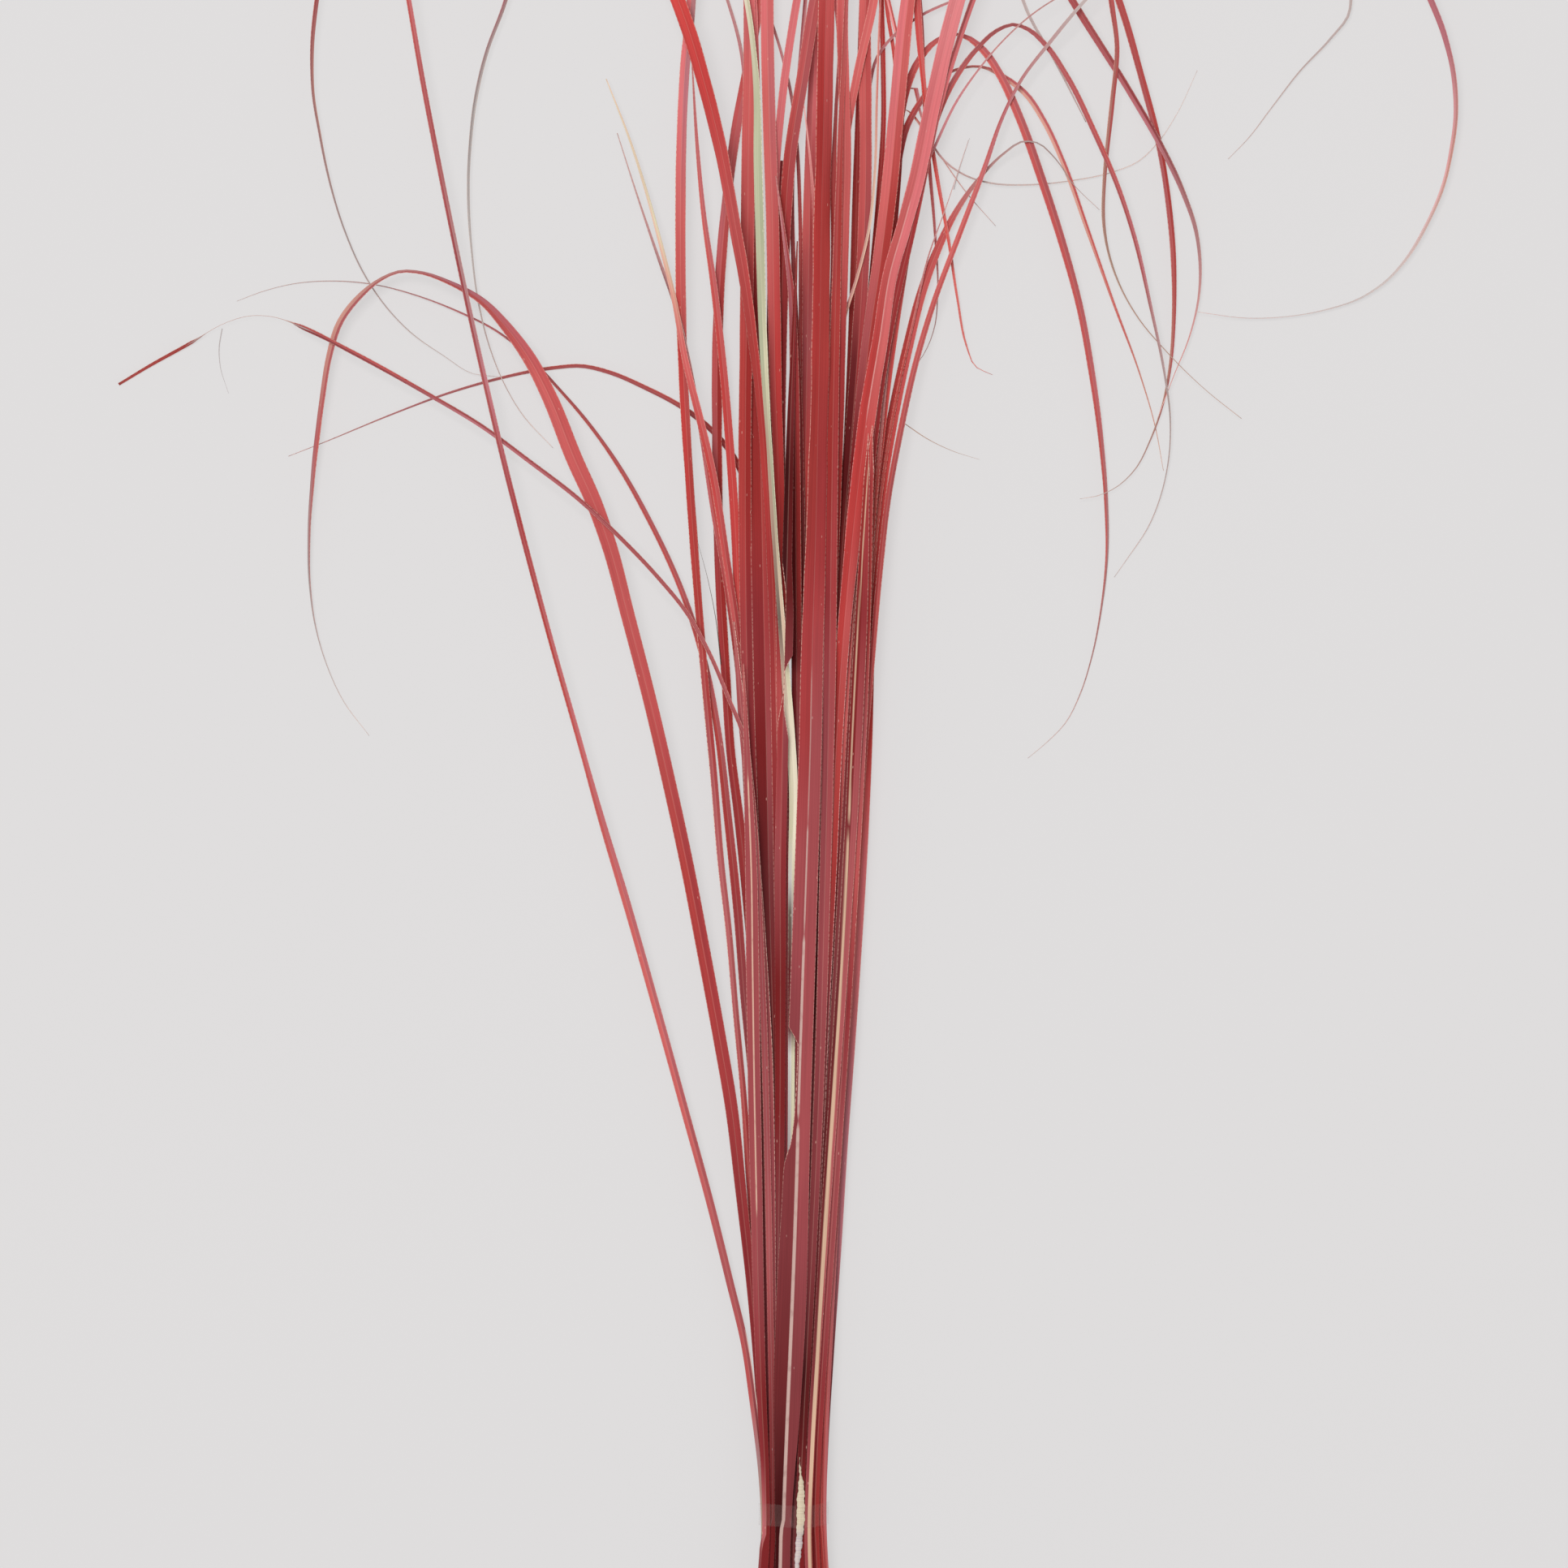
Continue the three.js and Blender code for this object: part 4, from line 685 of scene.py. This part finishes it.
        "0 mauve/oxblood, 40 rosewood/russet, 80 wine/madder, 160 wine/madder, 200 rosewood/madder, "
        "240 oxblood/mauve, 280 oxblood/russet, 320 rust/garnet, 360 scarlet"
    ),
    "tip_centre_pink": "0 maroon, 60 wine/russet, 200 brick, 400 coral/salmon, 440 shell",
    "tip_left_cream": (
        "0 wine, 280 coral/garnet, 320 scarlet/coral, 360 salmon, 400 cream/straw, 440 straw/cream"
    ),
    "tip_left_dark": (
        "0 maroon, 240 russet, 280 garnet/coral, 320 rose/crimson, 360 plum/dusty, 400 dusty, 440 ash"
    ),
    "twist_right_pale": "0 wine, 300 garnet, 440 salmon, 480 salmon",
    "whisker_cream_right": (
        "0 wine, 300 mauve, 360 orchid/peach, 400 tan/cream, 440 peach/salmon, 480 pink/salmon"
    ),
    "whisker_right_long": "0 wine, 400 coral, 440 orchid/coral, 480 ash, 520 pale",
    "whisker_right_low": "0 maroon, 400 coral, 440 coral/peach, 480 ash/dusty",
    "whisker_right_mauve": (
        "0 wine, 280 crimson/rust, 320 crimson, 360 scarlet/rust, 400 dusty/orchid, 440 pale"
    ),
}  # mm beyond the band, then the shade there, or left and right shades. Most of this table was written by another program and the rest one by one, and that is a fault in it
# written by a scratch script and the rest by hand: report.md says how, and what is wrong with it
STYLES = {
    "front_right_great": dict(
        rib_at=[(-70, 120, 0.92, 0.52), (120, 178, 0.9, 0.4), (178, 212, 0.75, 0.25), (212, 260, 0.45, 0.2)],
        rib_tint="c6a79e",
        saw=(0.7, 0.45),
        bite=[
            (LEFT, "-12 1, 0 1.25, 40 1.42, 80 1.25, 106 1.1, 109 .9, 113 .55, 119 .38, 130 .24, "
                   "145 .22, 147.5 1"),
            (RIGHT, "-12 1, 0 1.1, 30 1.25, 80 1.1, 110 1"),
        ],
    ),
    "front_left_dashed": dict(rib_at=[(95, 232, 0.85, 0.24)], rib_tint="d8b09c"),
    "green_undyed": dict(bare="efe6cc", saw=(0.2, 0.9), rib=0.1),
    "stripe_right_cream": dict(
        rib=0.0,
        edge_band=(LEFT, "-70 .9, 0 1, 20 1.15, 110 1.1, 200 .75, 230 .4, 332 .25", "cca88e",
                   [(-70, 213), (217, 332)], 1.1),
        stop=336,
    ),
    "front_right_pale_edge": dict(stop=338),
    "edge_right_low": dict(stop=322),
    "back_left_medium": dict(bite=[(LEFT, "170 1, 216 1.45, 450 1.45, 500 1")]),
    "lean_left_straight": dict(
        edge_band=(RIGHT, "0 .4", "d6b4aa", [(2, 58)], 0), slim="200 1, 240 .72, 400 .72"
    ),
    "front_dark_sliver": dict(
        saw=(0.1, 0.1),
        bite=[
            (LEFT, "240 1, 250 .05, 280 .05, 290 1"),
            (RIGHT, "236 1, 245 .05, 257 .05, 261 1.5, 275 1.5, 290 1"),
        ],
    ),
    "hang_right_great": dict(tone=1.04, saw=(0.5, 0.95), bare="eab0aa", rib_at=[(340, 410, 0.6, 0.22)]),
    "front_left_rough": dict(saw=(0.2, 1.0), bare="f0c4b4"),
    "hang_left_outer": dict(saw=(1.0, 0.3), bare="e6bca8"),
    "arch_left_long": dict(slim="200 1, 250 .75, 400 .75"),
    "arch_left_thin": dict(slim="300 1, 340 1.3, 440 1.3, 480 1"),
    "arch_left_cut": dict(
        slim="150 1, 200 .64, 420 .64, 430 1",
        rib_at=[(425, 470, 0.9, 0.3)],
        rib_tint="b9a8a4",
        bite=[
            (LEFT, "430 1, 434 .15, 463 .15, 467 1"),
            (RIGHT, "432 1, 435 .15, 464 .15, 467 1"),
        ],
    ),
}  # how single leaves differ. rib_at: from and to mm, strength and half-width of a pale midrib.
# bite and slim: share of one lamina, or of the whole width, at a distance beyond the band.
# edge_band: side, width along the leaf, colour, where it shows, and distance from the edge


def slot_of(node_name):
    """The material slot that the record gives a node."""
    for entry in frame["record"]["subparts"]:
        if entry["node"] == node_name:
            return entry["material_slot"]
    return "dyed_leaf_red"


leaves = sorted(name for name in frame["nodes"] if name.startswith("leaf_"))
for number, name in enumerate(leaves):
    short = name[len("leaf_"):]
    leaf(name, slot_of(name), DYES_AND_PAINTED_SHADE[short], number + 1, **STYLES.get(short, {}))


# ---------------------------------------------------------------- loose scraps
def height_at(x, y, width):
    """The highest leaf surface within a small square round each point, or the table."""
    cloud = np.concatenate(TOPS)
    near = np.abs(cloud[None, :, :2] - np.stack([x, y], -1)[:, None]).max(-1) < width
    return np.where(near, cloud[None, :, 2], 0.0).max(1)


def dress(piece, dye, bare, across, along, to_edge, saw):
    """Gives a small piece the attributes that the leaf material reads, one value per point:
    it has no midrib, and is as if to_edge mm from a leaf's edge with that size of saw teeth."""
    mesh = piece.data
    full = np.ones(across.shape)
    colour = np.broadcast_to(dye, across.shape + (3,))
    fibre = np.broadcast_to(linear(bare), colour.shape)
    paint(mesh, "dye", np.concatenate([colour, full[..., None]], -1))
    paint(mesh, "bare", np.concatenate([fibre, 0.1 * full[..., None]], -1))
    paint(mesh, "lamina", np.stack([to_edge * full, 0.0 * full, saw * full], -1))
    lay_grain(mesh, across, along)
    mesh.materials.append(LEAF)
    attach(piece, "root")


def torn_sheath():
    """A torn scrap of undyed leaf sheath over the front leaves at the band. Its point at (s, t)
    lies between a left and a right outline, both roughened by sines of s, and 0.2 mm above the
    leaf under it, on a surface smoothed along s, arched by 0.35 mm across t."""
    # mm beyond the band, then the left and the right outline in mm from the waist
    stops = np.array([
        [18, 1.15, 1.3], [14, 1.2, 1.7], [11, 1.1, 2.3], [9, 0.9, 2.7], [5, 0.5, 2.8], [0, 0.4, 2.9],
        [-3, 0.4, 2.7], [-6, 0.3, 2.3], [-10, 0, 2.0], [-16, -0.3, 1.1], [-30, -0.9, 0.3],
        [-44, -1.4, -1.1],
    ])
    s = np.linspace(0, 1, 200)
    y = 18 - 62 * s
    left, right = (np.interp(-y, -stops[:, 0], stops[:, c]) for c in (1, 2))
    left = left + 0.10 * np.sin(85 * s) + 0.07 * np.sin(230 * s + 1)
    right = right + 0.12 * np.sin(101 * s + 2) + 0.08 * np.sin(270 * s)
    right = np.maximum(right, left + 0.12)
    t = np.linspace(0, 1, 9)
    x = (left[:, None] * (1 - t) + right[:, None] * t) * MM + WAIST[0]
    world_y = WAIST[1] + y * MM
    ground = height_at(x.mean(1), world_y, 1.4 * MM)
    for _ in range(30):
        inner = (ground[:-2] + 2 * ground[1:-1] + ground[2:]) / 4
        ground = np.concatenate([ground[:1], inner, ground[-1:]])
    z = ground[:, None] + (0.2 + 0.35 * np.sin(np.pi * t)) * MM
    top = np.stack([x, np.broadcast_to(world_y[:, None], x.shape), z], -1)
    under = top - np.array([0, 0, 0.12 * MM])
    piece = ring_piece("torn_sheath", np.concatenate([top, under[:, ::-1]], 1))
    across = np.concatenate([x, x[:, ::-1]], 1) / MM
    along = np.broadcast_to(-y[:, None] * 2.0, across.shape)
    low = np.clip((-2 - y) / 5, 0, 1)[:, None, None]
    dye = linear("c6b49a") * (1 - low) + linear("bfb0b6") * low
    dress(piece, dye, "e6dcc4", across, along + 41.0, 0.12, 0.5)


def wisp(number, route, dye):
    """A hair-thin dried thread. Its middle line is a smooth curve through points given in mm
    from the waist, just above whatever lies there; its round section tapers from 0.13 mm."""
    points = np.array(route, float)
    steps = np.linalg.norm(np.diff(points[:, :2], axis=0), axis=1)
    run = np.concatenate([[0], np.cumsum(steps)])
    s = np.linspace(0, run[-1], 48)
    flat = through(run, points, s)
    x, y = WAIST[0] + flat[:, 0] * MM, WAIST[1] + flat[:, 1] * MM
    z = flat[:, 2] * MM
    radius = 0.13 * MM * np.clip(1.15 - s / run[-1], 0.3, 1)
    ahead = np.stack([np.gradient(x), np.gradient(y)], -1)
    ahead /= np.linalg.norm(ahead, axis=1, keepdims=True)
    turn = np.linspace(0, 2 * np.pi, 6, endpoint=False)
    out = radius[:, None] * np.cos(turn)
    ring_x = x[:, None] + ahead[:, 1:] * out
    ring_y = y[:, None] - ahead[:, :1] * out
    ring_z = z[:, None] + radius[:, None] * np.sin(turn)
    piece = ring_piece(f"wisp_{number}", np.stack([ring_x, ring_y, ring_z], -1))
    along = np.broadcast_to((s / MM)[:, None], out.shape)
    dress(piece, linear(SHADES[dye]), "e2c2aa", out / MM, along, 1.0, 0.0)


WISPS = [
    ([(34, 336.5, 0.4), (41, 331.8, 0.8), (49, 328, 0.8), (57, 325.5, 0.3)], "tan"),
    ([(-177.5, 366, 0.4), (-178.4, 360, 0.6), (-178, 354, 0.6), (-175.5, 346, 0.3)], "ash"),
    ([(27.5, 352, 4), (26.2, 347, 4), (24.5, 341, 4)], "tan"),
    ([(-23, 262, 4), (-24.6, 276, 3), (-27, 288, 1.5), (-30.5, 301, 0.4)], "bark"),
    ([(49, 409, 1.2), (51, 416, 1), (54, 425, 0.4)], "ash"),
]  # each thread's route and shade
torn_sheath()
for number, (route, dye) in enumerate(WISPS):
    wisp(number + 1, route, dye)


# ---------------------------------------------------------------- the band
FILM_WALL = 0.09 * MM
FILM_HALF = 3.4 * MM  # half the width of the film
WRINKLES = ((7, 1.5, 0.07), (17, -2.5, 0.05), (31, 1.0, 0.03))  # waves round the loop, slant, mm


def film_band():
    """Clear film wound round the bundle. Its middle line is the outer outline of the CAD band,
    rounded a little. Its width is bent outwards by crosswise wrinkles, the sum of three sines
    round the loop whose size changes over the width, and its wall is 0.09 mm thick."""
    mesh = bpy.data.objects["tie_band"].data
    flat = np.empty(len(mesh.vertices) * 3)
    mesh.vertices.foreach_get("co", flat)
    cut = flat.reshape(-1, 3)[:, [0, 2]]
    turn = np.linspace(0, 2 * np.pi, 1440, endpoint=False)
    outer = (cut @ np.array([np.cos(turn), np.sin(turn)])).argmax(axis=0)
    outer = cut[outer[np.concatenate([[True], outer[1:] != outer[:-1]])]]
    outer = np.vstack([outer, outer[:1]])
    run = np.concatenate([[0], np.cumsum(np.linalg.norm(np.diff(outer, axis=0), axis=1))])
    at = np.linspace(0, run[-1], 240, endpoint=False)
    line = np.stack([np.interp(at, run, outer[:, c]) for c in (0, 1)], -1)
    for _ in range(6):
        line = (np.roll(line, 1, 0) + 2 * line + np.roll(line, -1, 0)) / 4
    ahead = np.roll(line, -1, 0) - np.roll(line, 1, 0)
    ahead /= np.linalg.norm(ahead, axis=1, keepdims=True)
    out = np.stack([ahead[:, 1], -ahead[:, 0]], -1)
    v = np.linspace(-1, 1, 15)
    around = (at / run[-1] * 2 * np.pi)[:, None]
    wrinkle = sum(size * np.sin(count * around + slant * v) for count, slant, size in WRINKLES)
    rise = (wrinkle - 0.12 * (1 - v**2)) * MM
    shell = []
    for wall in (0.0, -FILM_WALL):
        across = line[:, None] + out[:, None] * (rise + wall)[..., None]
        y = band_mid[1] + v * FILM_HALF + 0.25 * MM * np.sin(3 * around + 1)
        shell.append(np.stack([across[..., 0], y + 0 * across[..., 0], across[..., 1]], -1))
    rings = np.concatenate([shell[0], shell[1][:, ::-1]], 1)
    piece = ring_piece("film_band", rings, loop=True)
    piece.data.materials.append(FILM)
    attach(piece, "root")
    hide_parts("tie_band")


film_band()

# ---------------------------------------------------------------- table, light and camera
TABLE_SIDE = 14.0  # metres, so that low views still end on the table
TABLE_DROP = 0.0003  # metres from the lowest leaf down to it
ROOM_LIGHT = 0.46  # even light from all round
KEY_PLACE = (-0.35, 0.35, 2.6)
KEY_SIDE = 0.9
KEY_POWER = 49.0
FIELD = 0.483  # metres of table across the view
SENSOR = 36.0
LENS = 165.0
VIEW_MIDDLE = (-0.0029, 0.225)  # from the middle of the band
PILE_HEIGHT = 0.012  # the view is FIELD wide this far above the table

bpy.ops.mesh.primitive_plane_add(size=TABLE_SIDE, location=(0, 0, -TABLE_DROP))
table = bpy.context.object
table.name = "table_top"
table.data.materials.append(table_top())

scene = bpy.context.scene
scene.world = bpy.data.worlds.new("studio")
scene.world.use_nodes = True
room = scene.world.node_tree.nodes["Background"]
room.inputs["Color"].default_value = (1, 1, 1, 1)
room.inputs["Strength"].default_value = ROOM_LIGHT

lamp = bpy.data.lights.new("key_soft_box", "AREA")
lamp.shape = "SQUARE"
lamp.size = KEY_SIDE
lamp.energy = KEY_POWER
lamp.color = (1, 1, 1)
soft_box = bpy.data.objects.new("key_soft_box", lamp)
soft_box.location = KEY_PLACE
soft_box.rotation_euler = (-Vector(KEY_PLACE)).to_track_quat("-Z", "Y").to_euler()
bpy.context.collection.objects.link(soft_box)

camera_data = bpy.data.cameras.new("camera")
camera_data.sensor_width = SENSOR
camera_data.lens = LENS
camera_data.clip_end = 20.0
camera = bpy.data.objects.new("camera", camera_data)
camera.location = (
    band_mid[0] + VIEW_MIDDLE[0],
    band_mid[1] + VIEW_MIDDLE[1],
    PILE_HEIGHT + FIELD * LENS / SENSOR,
)
camera.rotation_euler = (0, 0, 0)  # straight down
bpy.context.collection.objects.link(camera)
scene.camera = camera
scene.view_settings.view_transform = "Standard"
scene.view_settings.look = "None"
